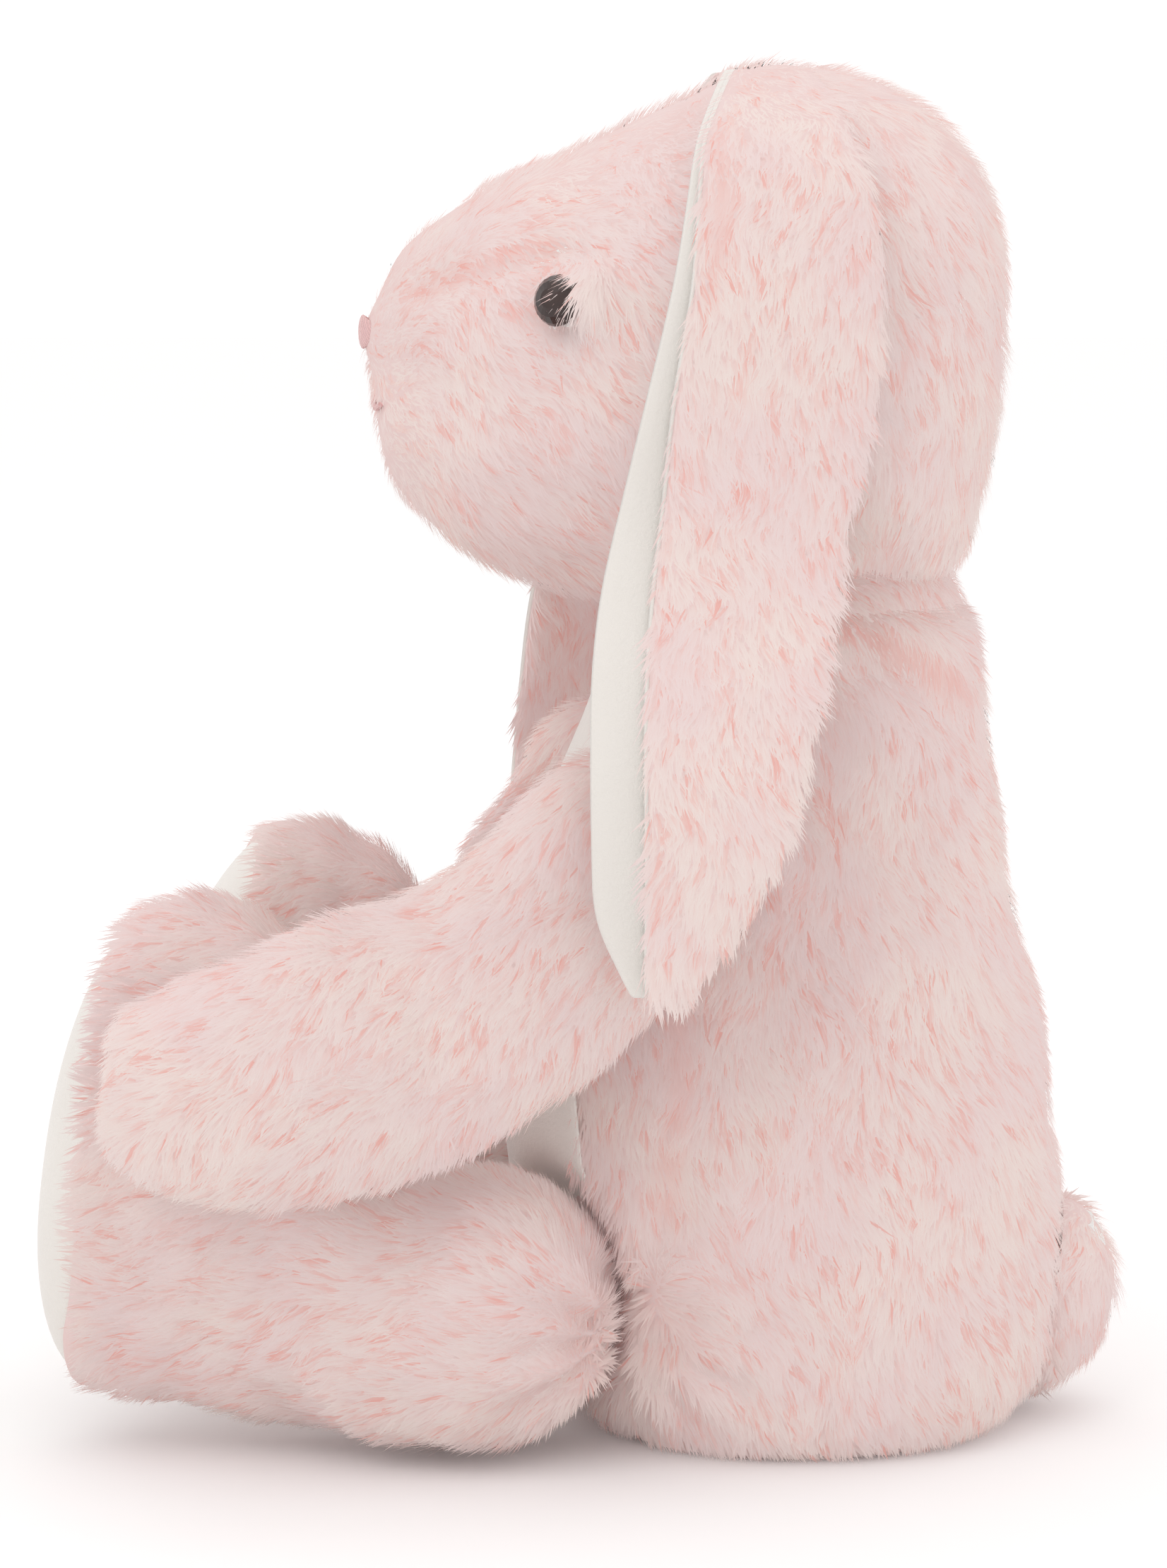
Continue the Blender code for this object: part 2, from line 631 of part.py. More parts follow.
def build_legs():
    for side, word in ((1, "left"), (-1, "right")):
        hip = (side * HIP_X, HIP_Y[side], HIP_Z)
        turn, along, _ = leg_frame(side)
        inside = turn @ (along * 45 + Vector((0, 0, 12)))
        pieces = [
            panel(word + "_leg_outer", material(word + "_leg_outer_plush", PINK, 0.95),
                  leg_panel_surface(side, True), 8, 15, inside),
            panel(word + "_leg_inner", material(word + "_leg_inner_plush", PINK, 0.95),
                  leg_panel_surface(side, False), 8, 15, inside),
            panel(word + "_sole_pad", material(word + "_sole_cloth", CREAM, 0.9), sole_surface(side),
                  20, 4, inside),
            core(word + "_leg_stuffing", material(word + "_leg_fibre", FIBRE, 0.95), leg_core(side), 14, 16),
        ]
        for ob in pieces:
            place(ob, hip)


def arm_station(side, s):
    """Centre, direction and half sizes of the arm at s: 0 at the shoulder, negative behind it."""
    rows = []
    dist = 0.0
    for k, row in enumerate(ARM[side]):
        if k:
            dist += (Vector(row[:3]) - Vector(ARM[side][k - 1][:3])).length
        rows.append((dist, *row))
    end = rows[-1][0]
    if s < 0:
        c = Vector(ARM[side][0][:3])
        d = (Vector(ARM[side][1][:3]) - c).normalized()
        d.x = 0
        d.normalize()
        root = ARM[side][0][3]
        r = math.sqrt(max(0.0, root * root - s * s)) / root
        return c + d * s, d, root * r, ARM[side][0][4] * r ** 0.7
    if s > end:
        over = (s - end) / ARM_TIP
        c = Vector(ARM[side][-1][:3])
        d = (c - Vector(ARM[side][-2][:3])).normalized()
        r = math.sqrt(max(0.0, 1 - over * over))
        return c + d * (s - end), d, rows[-1][4] * r, rows[-1][5] * r
    at = [Vector([curve_through(rows, x, c) for c in (1, 2, 3)]) for x in (s, max(0, s - 1), min(end, s + 1))]
    return at[0], (at[2] - at[1]).normalized(), curve_through(rows, s, 4), curve_through(rows, s, 5)


ARM_TIP = 5.6


def arm_ends(side):
    rows = ARM[side]
    return -rows[0][3], sum((Vector(b[:3]) - Vector(a[:3])).length for a, b in zip(rows, rows[1:])) + ARM_TIP


def arm_point(side, s, a, shrink=0.0):
    c, d, hh, hw = arm_station(side, s)
    up = Vector((1, 0, 0)).cross(d).normalized()
    if up.z < 0:
        up = -up
    hh, hw = max(0.0, hh - shrink), max(0.0, hw - shrink)
    p = oval(a, c, Vector((1, 0, 0)), up, hw, hh)
    return Vector((side * p.x, p.y, p.z))


def arm_panel_surface(side, outer):
    off = Vector((side * SEAM * 0.65 * (1 if outer else -1), 0, 0))

    def f(u, v):
        a = math.pi * u * (1 if outer else -1)
        lo, hi = arm_ends(side)
        # steps bunch up at both rounded ends
        w = 0.5 - 0.5 * math.cos(math.pi * v)
        s = lo + (hi - lo) * (0.55 * w + 0.45 * v)
        return arm_point(side, s, a) + off
    return f


def arm_core(side):
    def f(angle, lat):
        lo, hi = arm_ends(side)
        lo, hi = lo + ARM_CORE, hi - ARM_CORE - 1.0
        s = (lo + hi) / 2 + (hi - lo) / 2 * math.sin(lat * math.pi / 2)
        if abs(lat) > 1 - 1e-6:
            c = arm_station(side, s)[0]
            return (side * c.x, c.y, c.z)
        return arm_point(side, s, angle, ARM_CORE)
    return f


def build_arms():
    for side, word in ((1, "left"), (-1, "right")):
        pivot = (side * ARM[side][0][0], *SHOULDER)
        inside = (side * 68, -30, 92)
        pieces = [
            panel(word + "_arm_outer", material(word + "_arm_outer_plush", PINK, 0.95),
                  arm_panel_surface(side, True), 7, 14, inside),
            panel(word + "_arm_inner", material(word + "_arm_inner_plush", PINK, 0.95),
                  arm_panel_surface(side, False), 7, 14, inside),
            core(word + "_arm_stuffing", material(word + "_arm_fibre", FIBRE, 0.95), arm_core(side), 12, 12),
        ]
        for ob in pieces:
            place(ob, pivot)


# ---------------------------------------------------------------- tail
def back_y(x, z):
    """The body's back surface at a sideways offset and height."""
    back, front, rx = (curve_through(TORSO, z, c) for c in (1, 2, 3))
    return (back + front) / 2 + (back - front) / 2 * (1 - (abs(x) / rx) ** 2.3) ** (1 / 2.3)


def tail_height(rho):
    return TAIL_DEPTH * max(0.0, 1 - rho ** 2.2) ** 0.55


def build_tail():
    def cover(u, v):
        a = 2 * math.pi * u
        rho = math.sin(v * math.pi / 2)
        x, z = TAIL_R * rho * math.cos(a), TAIL_Z + TAIL_R * rho * math.sin(a)
        return (x, back_y(x, z) + 1.8 + tail_height(rho), z)

    def fill(angle, lat):
        rho = min(1.0, max(0.0, math.cos(lat * math.pi / 2))) * (TAIL_R - 3.6) / TAIL_R
        x, z = TAIL_R * rho * math.cos(angle), TAIL_Z + TAIL_R * rho * math.sin(angle)
        base = back_y(x, z) + 2.0
        if lat < 0:
            return (x, base, z)
        return (x, base + max(0.0, (tail_height(rho) - 2.4)) * min(1.0, lat * 3), z)

    hinge = (0, 97.6, TAIL_Z + TAIL_R - 1.5)
    for ob in (panel("tail_cover", material("tail_plush", PINK, 0.95), cover, 20, 5, (0, 80, TAIL_Z)),
               core("tail_stuffing", material("tail_fibre", FIBRE, 0.95), fill, 14, 8)):
        place(ob, hinge)


build_head()
build_ears()
build_body()
build_arms()
build_legs()
build_tail()
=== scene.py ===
"""Seated plush bunny with lop ears: sewn plush skins with a dense two-tone pile."""
import math

import bmesh
import bpy
import numpy as np
from mathutils import Matrix, Vector, kdtree


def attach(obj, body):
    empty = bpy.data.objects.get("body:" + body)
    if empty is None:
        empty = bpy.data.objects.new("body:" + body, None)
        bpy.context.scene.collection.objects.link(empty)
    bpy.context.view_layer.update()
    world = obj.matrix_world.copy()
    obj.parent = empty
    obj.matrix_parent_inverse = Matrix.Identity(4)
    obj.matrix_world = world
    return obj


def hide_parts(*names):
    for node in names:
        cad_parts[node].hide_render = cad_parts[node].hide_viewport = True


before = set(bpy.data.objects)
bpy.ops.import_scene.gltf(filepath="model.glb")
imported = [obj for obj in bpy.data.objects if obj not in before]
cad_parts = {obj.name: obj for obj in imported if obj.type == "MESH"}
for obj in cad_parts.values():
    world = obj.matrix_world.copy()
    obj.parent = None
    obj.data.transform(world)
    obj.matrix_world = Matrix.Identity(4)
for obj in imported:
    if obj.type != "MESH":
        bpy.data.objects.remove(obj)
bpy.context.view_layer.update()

MM = 0.001
MOST_STRANDS = 62000      # strands in one piece
FLOOR_GAP = 0.1           # no strand goes lower than this

# ------------------------------------------------------------------ shapes (mm)
ROUNDED = 2 / 2.3         # the power of a slightly squared oval
ARM_ROUNDED = 2 / 2.15
LEG_END = 73.0            # from the hip to the sole's seam
NECK_SKIN_R = 36.4
SKIN_INSET = 3.2          # the cloth lies this far under the outline that the pile fills
DEEPEST = -1.0            # a body crease goes no deeper, so the stuffing stays covered
HEAD_C = (38.0, 213.0)
# the head's side outline (y, z) and its half width at each y
HEAD_OUTLINE = [
    (-41.0, 215.0), (-39.0, 222.0), (-35.0, 232.0), (-24.0, 240.5), (-6.0, 250.0),
    (16.0, 262.6), (36.0, 270.4), (48.0, 269.6), (62.0, 265.4), (77.0, 253.0),
    (83.2, 240.0), (85.0, 215.0), (84.6, 200.0), (81.0, 182.0), (76.0, 168.0),
    (60.0, 160.0), (40.0, 157.0), (18.0, 157.5), (2.0, 160.5), (-19.0, 169.2),
    (-31.0, 178.5), (-38.0, 187.5), (-40.3, 197.0), (-40.0, 207.0),
]
HEAD_WIDTH = [
    (-42, 31), (-32, 35), (-20, 39), (-6, 43.5), (10, 48), (30, 50.5), (50, 51), (70, 49), (86, 46),
]
NOSE = np.array([0.0, -42.0, 215.0])
EYE_Y, EYE_Z = -4.4, 222.5
NECK = np.array([0.0, 41.0, 149.5])
# the body's rows: z, y of the back, y of the front, half width
TORSO = [
    (0, 79, 4, 45), (4, 88, -3, 51.5), (12, 93.5, -8, 55.5), (25, 96.0, -12, 57.5), (45, 97.0, -16, 57.5),
    (65, 96.0, -18, 55.5), (85, 92.0, -17, 51.5), (105, 87.0, -14, 47.5), (125, 84.0, -8, 43.5),
    (142, 81.3, -1, 40), (152, 80.0, 2.0, 38.5), (157, 79.0, 3.0, 37.8),
]
# the belly cloth's edge: z, degrees from the front
BELLY_EDGE = [(12, 38), (30, 44), (60, 47), (100, 40), (135, 28), (157, 18)]
HIP_Z, HIP_X = 30.0, 42.0
HIP_Y = {1: -22.0, -1: -12.0}
HIP_POCKET_R = 31.8
LEG_ROOT_R = 29.4
LEG_TOE_IN = 10.0
LEG_PITCH = {1: 0.0, -1: 7.5}
# the leg's stations: distance from the hip, bottom, top, half width
LEG = [
    (0, 0.7, 59.4, 28.4), (14, 1.4, 60.4, 27.8), (20, 2.1, 66.0, 26.4), (26, 2.9, 82.0, 24.6),
    (31, 3.5, 97.0, 23.6), (37, 4.4, 104.0, 23.4), (43, 5.2, 107.5, 23.7), (52, 6.4, 110.5, 24.2),
    (58, 7.4, 111.2, 24.3), (64, 8.6, 110.5, 24.1), (70, 10.2, 108.0, 23.3), (73, 12.2, 105.5, 21.8),
]
SOLE_TILT, SOLE_BULGE = 7.0, 10.5
# the arm's stations by side: x, y, z, half height, half width
ARM = {
    1: [(60.0, 7.0, 116.5, 24.6, 13.4), (60.6, -10.0, 99.8, 25.0, 13.8), (63.0, -26.0, 90.0, 26.4, 14.8),
        (70.9, -42.0, 84.2, 27.2, 15.4), (76.6, -58.0, 80.8, 25.4, 15.7), (77.7, -73.0, 79.6, 22.0, 15.2),
        (77.8, -83.0, 80.4, 15.8, 12.6)],
    -1: [(60.0, 7.0, 116.5, 22.6, 13.4), (62.6, -6.0, 96.0, 21.8, 12.8), (70.6, -17.5, 79.0, 21.8, 13.2),
         (76.6, -31.0, 69.4, 22.2, 13.8), (78.6, -47.0, 65.0, 22.2, 14.1), (78.8, -63.0, 64.0, 20.6, 14.0),
         (78.8, -73.5, 65.0, 15.4, 12.4)],
}
ARM_TIP = 5.6             # length of the rounded paw end
# the ear's rows: z, centre plane x, y of the inner edge, of the outer edge and of the rear fold
EAR = [
    (252, 47.0, 21.0, 22.0, 51.0), (240, 53.4, 19.0, 21.0, 54.6), (225, 57.0, 16.4, 19.8, 55.6),
    (205, 58.6, 11.6, 16.4, 54.6), (186, 61.0, 7.0, 14.4, 50.2), (170, 67.6, 3.2, 12.4, 47.0),
    (155, 77.0, 1.4, 11.2, 44.0), (140, 83.0, 1.2, 11.0, 40.8), (125, 85.4, 1.4, 11.2, 36.6),
    (112, 86.0, 2.2, 11.2, 30.0), (102, 86.0, 6.4, 11.2, 22.4), (97, 86.0, 9.0, 11.4, 19.0),
]
EAR_ROOT = [(266, 19.0, 27.0, 28.0, 44.0), (260, 34.5, 24.0, 25.0, 48.0)]
EAR_HALF, EAR_LINING_HALF = 3.0, 1.4
RIGHT_EAR_SHIFT, RIGHT_EAR_SWING = 3.0, 0.105
TAIL_Z, TAIL_R, TAIL_DEPTH = 24.0, 20.5, 9.45
HIP_PINCH = {1: np.array([61.0, 8.5, 25.0]), -1: np.array([-61.0, 17.0, 25.0])}


def curve_through(table, x, col=1):
    """Smooth value of a table's column at x, with level ends."""
    if x <= table[0][0]:
        return table[0][col]
    if x >= table[-1][0]:
        return table[-1][col]
    i = max(k for k in range(len(table) - 1) if table[k][0] <= x)

    def slope(k):
        a, b = max(k - 1, 0), min(k + 1, len(table) - 1)
        return (table[b][col] - table[a][col]) / (table[b][0] - table[a][0])

    h = table[i + 1][0] - table[i][0]
    t = (x - table[i][0]) / h
    y0, y1 = table[i][col], table[i + 1][col]
    m0, m1 = slope(i) * h, slope(i + 1) * h
    return ((2 * t ** 3 - 3 * t * t + 1) * y0 + (t ** 3 - 2 * t * t + t) * m0
            + (-2 * t ** 3 + 3 * t * t) * y1 + (t ** 3 - t * t) * m1)


def spow(v, p):
    return math.copysign(abs(v) ** p, v)


def polar_outline():
    cy, cz = HEAD_C
    pts = sorted((math.degrees(math.atan2(z - cz, y - cy)) % 360, math.hypot(y - cy, z - cz))
                 for y, z in HEAD_OUTLINE)
    return [(a - 360, r) for a, r in pts[-3:]] + pts + [(a + 360, r) for a, r in pts[:3]]


HEAD_POLAR = polar_outline()
EYES = []


def head_point(deg, t, side, shrink=0.0):
    r = (curve_through(HEAD_POLAR, deg % 360) - shrink) * t
    y = HEAD_C[0] + r * math.cos(math.radians(deg))
    z = HEAD_C[1] + r * math.sin(math.radians(deg))
    w = curve_through(HEAD_WIDTH, y) - shrink
    w *= 0.86 + 0.14 * max(0.0, min(1.0, (z - 150) / 40))
    return (side * w * max(0.0, 1 - t ** 2.5) ** 0.5, y, z)


def head_side_at(y, z, side, shrink=0.0):
    cy, cz = HEAD_C
    deg = math.degrees(math.atan2(z - cz, y - cy))
    t = math.hypot(y - cy, z - cz) / (curve_through(HEAD_POLAR, deg % 360) - shrink)
    return Vector(head_point(deg, t, side, shrink))


def head_skin_surface(angle, lat):
    t = max(0.0, math.cos(lat * math.pi / 2))
    face = HEAD_C[0] + 75 * math.cos(angle) * t
    inset = -1.0 + (SKIN_INSET + 1.0) * min(1.0, max(0.0, (face + 38) / 30))
    return head_point(math.degrees(angle), t, 1 if lat >= 0 else -1, inset)


def pocket_radius(z):
    if z >= HIP_Z + HIP_POCKET_R:
        return 0.0
    if z >= 15.0:
        return math.sqrt(HIP_POCKET_R ** 2 - (z - HIP_Z) ** 2)
    return math.sqrt(HIP_POCKET_R ** 2 - 15.0 ** 2) - (15.0 - z) * math.tan(math.radians(30))


def torso_point(a, z, shrink=0.0):
    """The body's outline at height z, with the hip pockets cut in."""
    back, front, rx = (curve_through(TORSO, z, c) for c in (1, 2, 3))
    cy, ry = (back + front) / 2, (back - front) / 2
    x = (rx - shrink) * spow(math.sin(a), ROUNDED)
    y = cy - (ry - shrink) * spow(math.cos(a), ROUNDED)
    r = pocket_radius(z)
    for side in (1, -1):
        if r <= 0:
            break
        rr = r + shrink * 0.2
        dx, dy = x, y - cy
        ox, oy = -side * HIP_X, cy - HIP_Y[side]
        qa, qb, qc = dx * dx + dy * dy, 2 * (dx * ox + dy * oy), ox * ox + oy * oy - rr * rr
        disc = qb * qb - 4 * qa * qc
        if disc > 0:
            s = (-qb - math.sqrt(disc)) / (2 * qa)
            if 0 < s < 1:
                x, y = x * s, cy + dy * s
    return (x, y, z)


def body_skin_surface(angle, lat):
    """The body up to the neck, with a rounded seat edge and a domed neck end."""
    flat = 0.72
    low, high = 0.6, 160.0
    if lat < -flat:
        f = (1 + lat) / (1 - flat)
        x, y, z = torso_point(angle, low, 2.0)
        cy = 41.0
        return (x * f, cy + (y - cy) * f, low)
    if lat > flat:
        f = (1 - lat) / (1 - flat)
        x, y, z = torso_point(angle, 157.0, SKIN_INSET)
        return (x * f, NECK[1] + (y - NECK[1]) * f, high + 9.0 * (1 - f * f))
    v = (lat / flat + 1) / 2
    z = low + (high - low) * v ** 1.25
    return torso_point(angle, z, SKIN_INSET * min(1.0, 0.5 + z / 12))


def neck_surface(angle, lat):
    up = lat * math.pi / 2
    return tuple(NECK + NECK_SKIN_R * np.array([
        math.cos(angle) * math.cos(up), math.sin(angle) * math.cos(up), math.sin(up)]))


def belly_surface(u, v):
    z = 13.0 + (156.0 - 13.0) * v
    a = math.radians(curve_through(BELLY_EDGE, z)) * (2 * u - 1) * 0.985
    x, y, z = torso_point(a, z, SKIN_INSET - 1.4)
    return (x, y, z)


def leg_frame(side):
    toe = math.radians(LEG_TOE_IN)
    along = Vector((-side * math.sin(toe), -math.cos(toe), 0))
    across = Vector((side * math.cos(toe), -math.sin(toe), 0))
    hip = Vector((side * HIP_X, HIP_Y[side], HIP_Z))
    return Matrix.Translation(hip) @ Matrix.Rotation(-math.radians(LEG_PITCH[side]), 4, "X"), along, across


def leg_point(side, s, a, shrink=0.0):
    """A point of the leg s millimetres in front of the hip, a round from the top."""
    turn, along, across = leg_frame(side)
    if s < 0:
        r = max(0.0, math.sqrt(max(0.0, LEG_ROOT_R ** 2 - s * s)) - shrink)
        w, h, cz = r * 0.965, r, 0.0
    else:
        low, high, w = (curve_through(LEG, s, c) for c in (1, 2, 3))
        h, cz, w = (high - low) / 2 - shrink, (high + low) / 2 - HIP_Z, w - shrink
    z = h * spow(math.cos(a), ROUNDED) + cz
    tilt = SOLE_TILT * (max(0.0, s) / LEG_END) ** 2 * (z - 28.0) / 50.0
    sideways = across * (w * spow(math.sin(a), ROUNDED))
    return turn @ (along * (s - tilt) + sideways + Vector((0, 0, z)))


def leg_skin_surface(side):
    def f(angle, lat):
        body = 0.86
        low, high = -LEG_ROOT_R + SKIN_INSET, 72.4
        s = low + (high - low) * min(1.0, max(0.0, (lat / body + 1) / 2))
        shut = min(1.0, (1 - abs(lat)) / (1 - body)) if abs(lat) > body else 1.0
        p = leg_point(side, s, angle, SKIN_INSET * (1 - 0.5 * min(1.0, max(0.0, (s - 60) / 11))))
        q = (leg_point(side, s, 0, SKIN_INSET) + leg_point(side, s, math.pi, SKIN_INSET)) * 0.5
        if lat > body:
            q = q + leg_frame(side)[1] * (SOLE_BULGE - 2.4) * (1 - shut ** 2.0)
        return q + (p - q) * shut ** (0.5 if lat < 0 else 1.0)
    return f


def sole_surface(side):
    mid = leg_point(side, LEG_END, 0) * 0.46 + leg_point(side, LEG_END, math.pi) * 0.54
    along = leg_frame(side)[1]

    def f(u, v):
        edge = leg_point(side, LEG_END, 2 * math.pi * u, 1.2)
        tucked = -0.6 - 1.8 * v ** 10
        return mid + (edge - mid) * v + along * (tucked + SOLE_BULGE * (1 - v ** 2.4) ** 0.85)
    return f


def arm_station(side, s):
    """Centre, direction and half sizes of the arm at s: 0 at the shoulder, negative behind it."""
    table = ARM[side]
    rows, dist = [], 0.0
    for k, row in enumerate(table):
        if k:
            dist += (Vector(row[:3]) - Vector(table[k - 1][:3])).length
        rows.append((dist, *row))
    end = rows[-1][0]
    if s < 0:
        c = Vector(table[0][:3])
        d = (Vector(table[1][:3]) - c).normalized()
        d.x = 0
        d.normalize()
        root = table[0][3]
        r = math.sqrt(max(0.0, root * root - s * s)) / root
        return c + d * s, d, root * r, table[0][4] * r ** 0.7
    if s > end:
        over = (s - end) / ARM_TIP
        c = Vector(table[-1][:3])
        d = (c - Vector(table[-2][:3])).normalized()
        r = math.sqrt(max(0.0, 1 - over * over))
        return c + d * (s - end), d, rows[-1][4] * r, rows[-1][5] * r
    at = [Vector([curve_through(rows, x, c) for c in (1, 2, 3)]) for x in (s, max(0, s - 1), min(end, s + 1))]
    return at[0], (at[2] - at[1]).normalized(), curve_through(rows, s, 4), curve_through(rows, s, 5)


def arm_ends(side):
    rows = ARM[side]
    return -rows[0][3], sum((Vector(b[:3]) - Vector(a[:3])).length for a, b in zip(rows, rows[1:])) + ARM_TIP


def arm_skin_surface(side):
    inset = 2.3
    lo, hi = arm_ends(side)
    lo, hi = lo + inset, hi - 1.0

    def f(angle, lat):
        w = 0.5 + 0.5 * math.sin(lat * math.pi / 2)
        s = lo + (hi - lo) * (0.6 * w + 0.4 * (lat + 1) / 2)
        c, d, hh, hw = arm_station(side, s)
        up = Vector((1, 0, 0)).cross(d).normalized()
        up = up if up.z > 0 else -up
        if abs(lat) > 1 - 1e-6:
            hh = hw = 0.0
        hh, hw = max(0.0, hh - inset), max(0.0, hw - inset)
        p = c + Vector((1, 0, 0)) * (hw * spow(math.sin(angle), ARM_ROUNDED))
        p = p + up * (hh * spow(math.cos(angle), ARM_ROUNDED))
        return (side * p.x, p.y, p.z)
    return f


EAR_ALL = EAR_ROOT + EAR
EAR_ROWS = [(len(EAR_ALL) - 1 - n, *row) for n, row in enumerate(EAR_ALL)][::-1]


def ear_row(v):
    """Height, centre plane and edges of the ear at v: 0 at the root, 1 at the tip."""
    pos = (len(EAR_ALL) - 1) * (1 - v)
    return tuple(curve_through(EAR_ROWS, pos, c) for c in (1, 2, 3, 4, 5))


def ear_surface(side, half, trim, puff=0.0):
    """The lengthwise fold: the near flap, the rear fold and the far flap."""
    def f(u, v):
        z, xm, yi, yo, yr = ear_row(v)
        turn = yr - EAR_HALF
        if u < 0.42:
            k = u / 0.42
            y = yo + trim + (turn - yo - trim) * k
            x = xm + half + puff * math.sin(math.pi * k) ** 0.8
        elif u > 0.58:
            k = (1 - u) / 0.42
            y = yi + trim + (turn - yi - trim) * k
            x = xm - half - puff * 0.3 * math.sin(math.pi * k)
        else:
            a = math.pi * (u - 0.42) / 0.16
            y, x = turn + half * math.sin(a), xm + half * math.cos(a)
        if side < 0:
            y -= RIGHT_EAR_SHIFT + (252 - z) * RIGHT_EAR_SWING
        return (side * x, y, z)
    return f


def back_y(x, z):
    back, front, rx = (curve_through(TORSO, z, c) for c in (1, 2, 3))
    return (back + front) / 2 + (back - front) / 2 * max(0.0, 1 - (abs(x) / rx) ** 2.3) ** (1 / 2.3)


def tail_skin_surface(angle, lat):
    rho = min(1.0, max(0.0, math.cos(lat * math.pi / 2)))
    r = TAIL_R - 1.6
    x, z = r * rho * math.cos(angle), TAIL_Z + r * rho * math.sin(angle)
    base = back_y(x, z) - 1.5
    if lat < 0:
        return (x, base, z)
    return (x, base + (TAIL_DEPTH + 2.0) * max(0.0, 1 - rho ** 2.2) ** 0.55, z)


# ------------------------------------------------------------------ mesh makers
def put(ob, body, slot, *nodes):
    bpy.context.scene.collection.objects.link(ob)
    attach(ob, body)
    if nodes:
        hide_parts(*nodes)
    return ob


def object_from(bm, name, mat):
    me = bpy.data.meshes.new(name)
    bm.to_mesh(me)
    bm.free()
    me.shade_smooth()
    me.materials.append(mat)
    return bpy.data.objects.new(name, me)


def stuffed(name, surface, nu, nv, mat, sculpt=None, soften=1):
    """A closed stuffed skin: a sphere's points sent to surface(angle, -1..1), then sculpted."""
    bm = bmesh.new()
    bmesh.ops.create_uvsphere(bm, u_segments=nu, v_segments=nv, radius=1.0)
    for v in bm.verts:
        lat = math.asin(max(-1.0, min(1.0, v.co.z))) / (math.pi / 2)
        v.co = Vector(surface(math.atan2(v.co.y, v.co.x), lat)) * MM
    bm.normal_update()
    if bm.calc_volume(signed=True) < 0:
        bmesh.ops.reverse_faces(bm, faces=bm.faces)
    for _ in range(soften):
        bmesh.ops.smooth_vert(bm, verts=bm.verts, factor=0.5, use_axis_x=True, use_axis_y=True, use_axis_z=True)
    if sculpt:
        bm.normal_update()
        pts = np.array([v.co for v in bm.verts]) / MM
        nor = np.array([v.normal for v in bm.verts])
        depth = sculpt(pts)
        for v, n, d in zip(bm.verts, nor, depth):
            v.co += Vector(n) * float(d) * MM
    ob = object_from(bm, name, mat)
    add_subdivision(ob)
    return ob


def add_subdivision(ob):
    sub = ob.modifiers.new("rounding", "SUBSURF")
    sub.levels = sub.render_levels = 1


def cloth_grid(name, surface, nu, nv, mat, inside, thick=1.0, offset=-1.0):
    """A sewn cloth patch: a grid laid on surface(u, v), with thickness."""
    bm = bmesh.new()
    bmesh.ops.create_grid(bm, x_segments=nu, y_segments=nv, size=0.5)
    for v in bm.verts:
        v.co = Vector(surface(min(max(v.co.x + 0.5, 0), 1), min(max(v.co.y + 0.5, 0), 1))) * MM
    bmesh.ops.remove_doubles(bm, verts=bm.verts, dist=2e-5)
    bm.normal_update()
    c = Vector(inside) * MM
    if sum(f.normal.dot(f.calc_center_median() - c) * f.calc_area() for f in bm.faces) < 0:
        bmesh.ops.reverse_faces(bm, faces=bm.faces)
    ob = object_from(bm, name, mat)
    solid = ob.modifiers.new("cloth", "SOLIDIFY")
    solid.thickness = thick * MM
    solid.offset = offset
    add_subdivision(ob)
    return ob


# ------------------------------------------------------------------ shader words
class Wire:
    """A socket that Python's operators work on."""
    tree = None

    def __init__(self, socket):
        self.socket = socket

    @staticmethod
    def _math(op, a, b):
        return node("ShaderNodeMath", {"operation": op}, {0: a, 1: b})

    def __add__(self, o): return self._math("ADD", self, o)
    def __radd__(self, o): return self._math("ADD", o, self)
    def __sub__(self, o): return self._math("SUBTRACT", self, o)
    def __rsub__(self, o): return self._math("SUBTRACT", o, self)
    def __mul__(self, o): return self._math("MULTIPLY", self, o)
    def __rmul__(self, o): return self._math("MULTIPLY", o, self)
    def __pow__(self, o): return self._math("POWER", self, o)


def node(kind, settings=None, inputs=None, out=0):
    """Any node: its type, its settings, then its sockets' values or links."""
    made = Wire.tree.nodes.new(kind)
    for key, value in (settings or {}).items():
        if key == "ramp":
            ramp = made.color_ramp
            while len(ramp.elements) < len(value):
                ramp.elements.new(0.5)
            for el, (pos, col) in zip(ramp.elements, value):
                el.position, el.color = pos, (*col, 1.0)
        else:
            setattr(made, key, value)
    for key, value in (inputs or {}).items():
        sock = made.inputs[key]
        if isinstance(value, Wire):
            Wire.tree.links.new(value.socket, sock)
        elif isinstance(value, (tuple, list)) and sock.type == "RGBA" and len(value) == 3:
            sock.default_value = (*value, 1.0)
        else:
            sock.default_value = value
    return Wire(made.outputs[out])


def blend_colour(factor, a, b, mode="MIX"):
    return node("ShaderNodeMix", {"data_type": "RGBA", "blend_type": mode}, {0: factor, 6: a, 7: b}, out=2)


def new_material(name, build):
    mat = bpy.data.materials.new(name)
    mat.use_nodes = True
    Wire.tree = mat.node_tree
    bsdf = mat.node_tree.nodes["Principled BSDF"]
    for key, value in build().items():
        sock = bsdf.inputs[key]
        if isinstance(value, Wire):
            mat.node_tree.links.new(value.socket, sock)
        elif sock.type == "RGBA" and len(value) == 3:
            sock.default_value = (*value, 1.0)
        else:
            sock.default_value = value
    return mat


def place_noise(scale, detail=2.0, rough=0.5, out=0):
    coords = node("ShaderNodeTexCoord", out=3)
    return node("ShaderNodeTexNoise", {}, {"Vector": coords, "Scale": scale, "Detail": detail, "Roughness": rough},
                out=out)


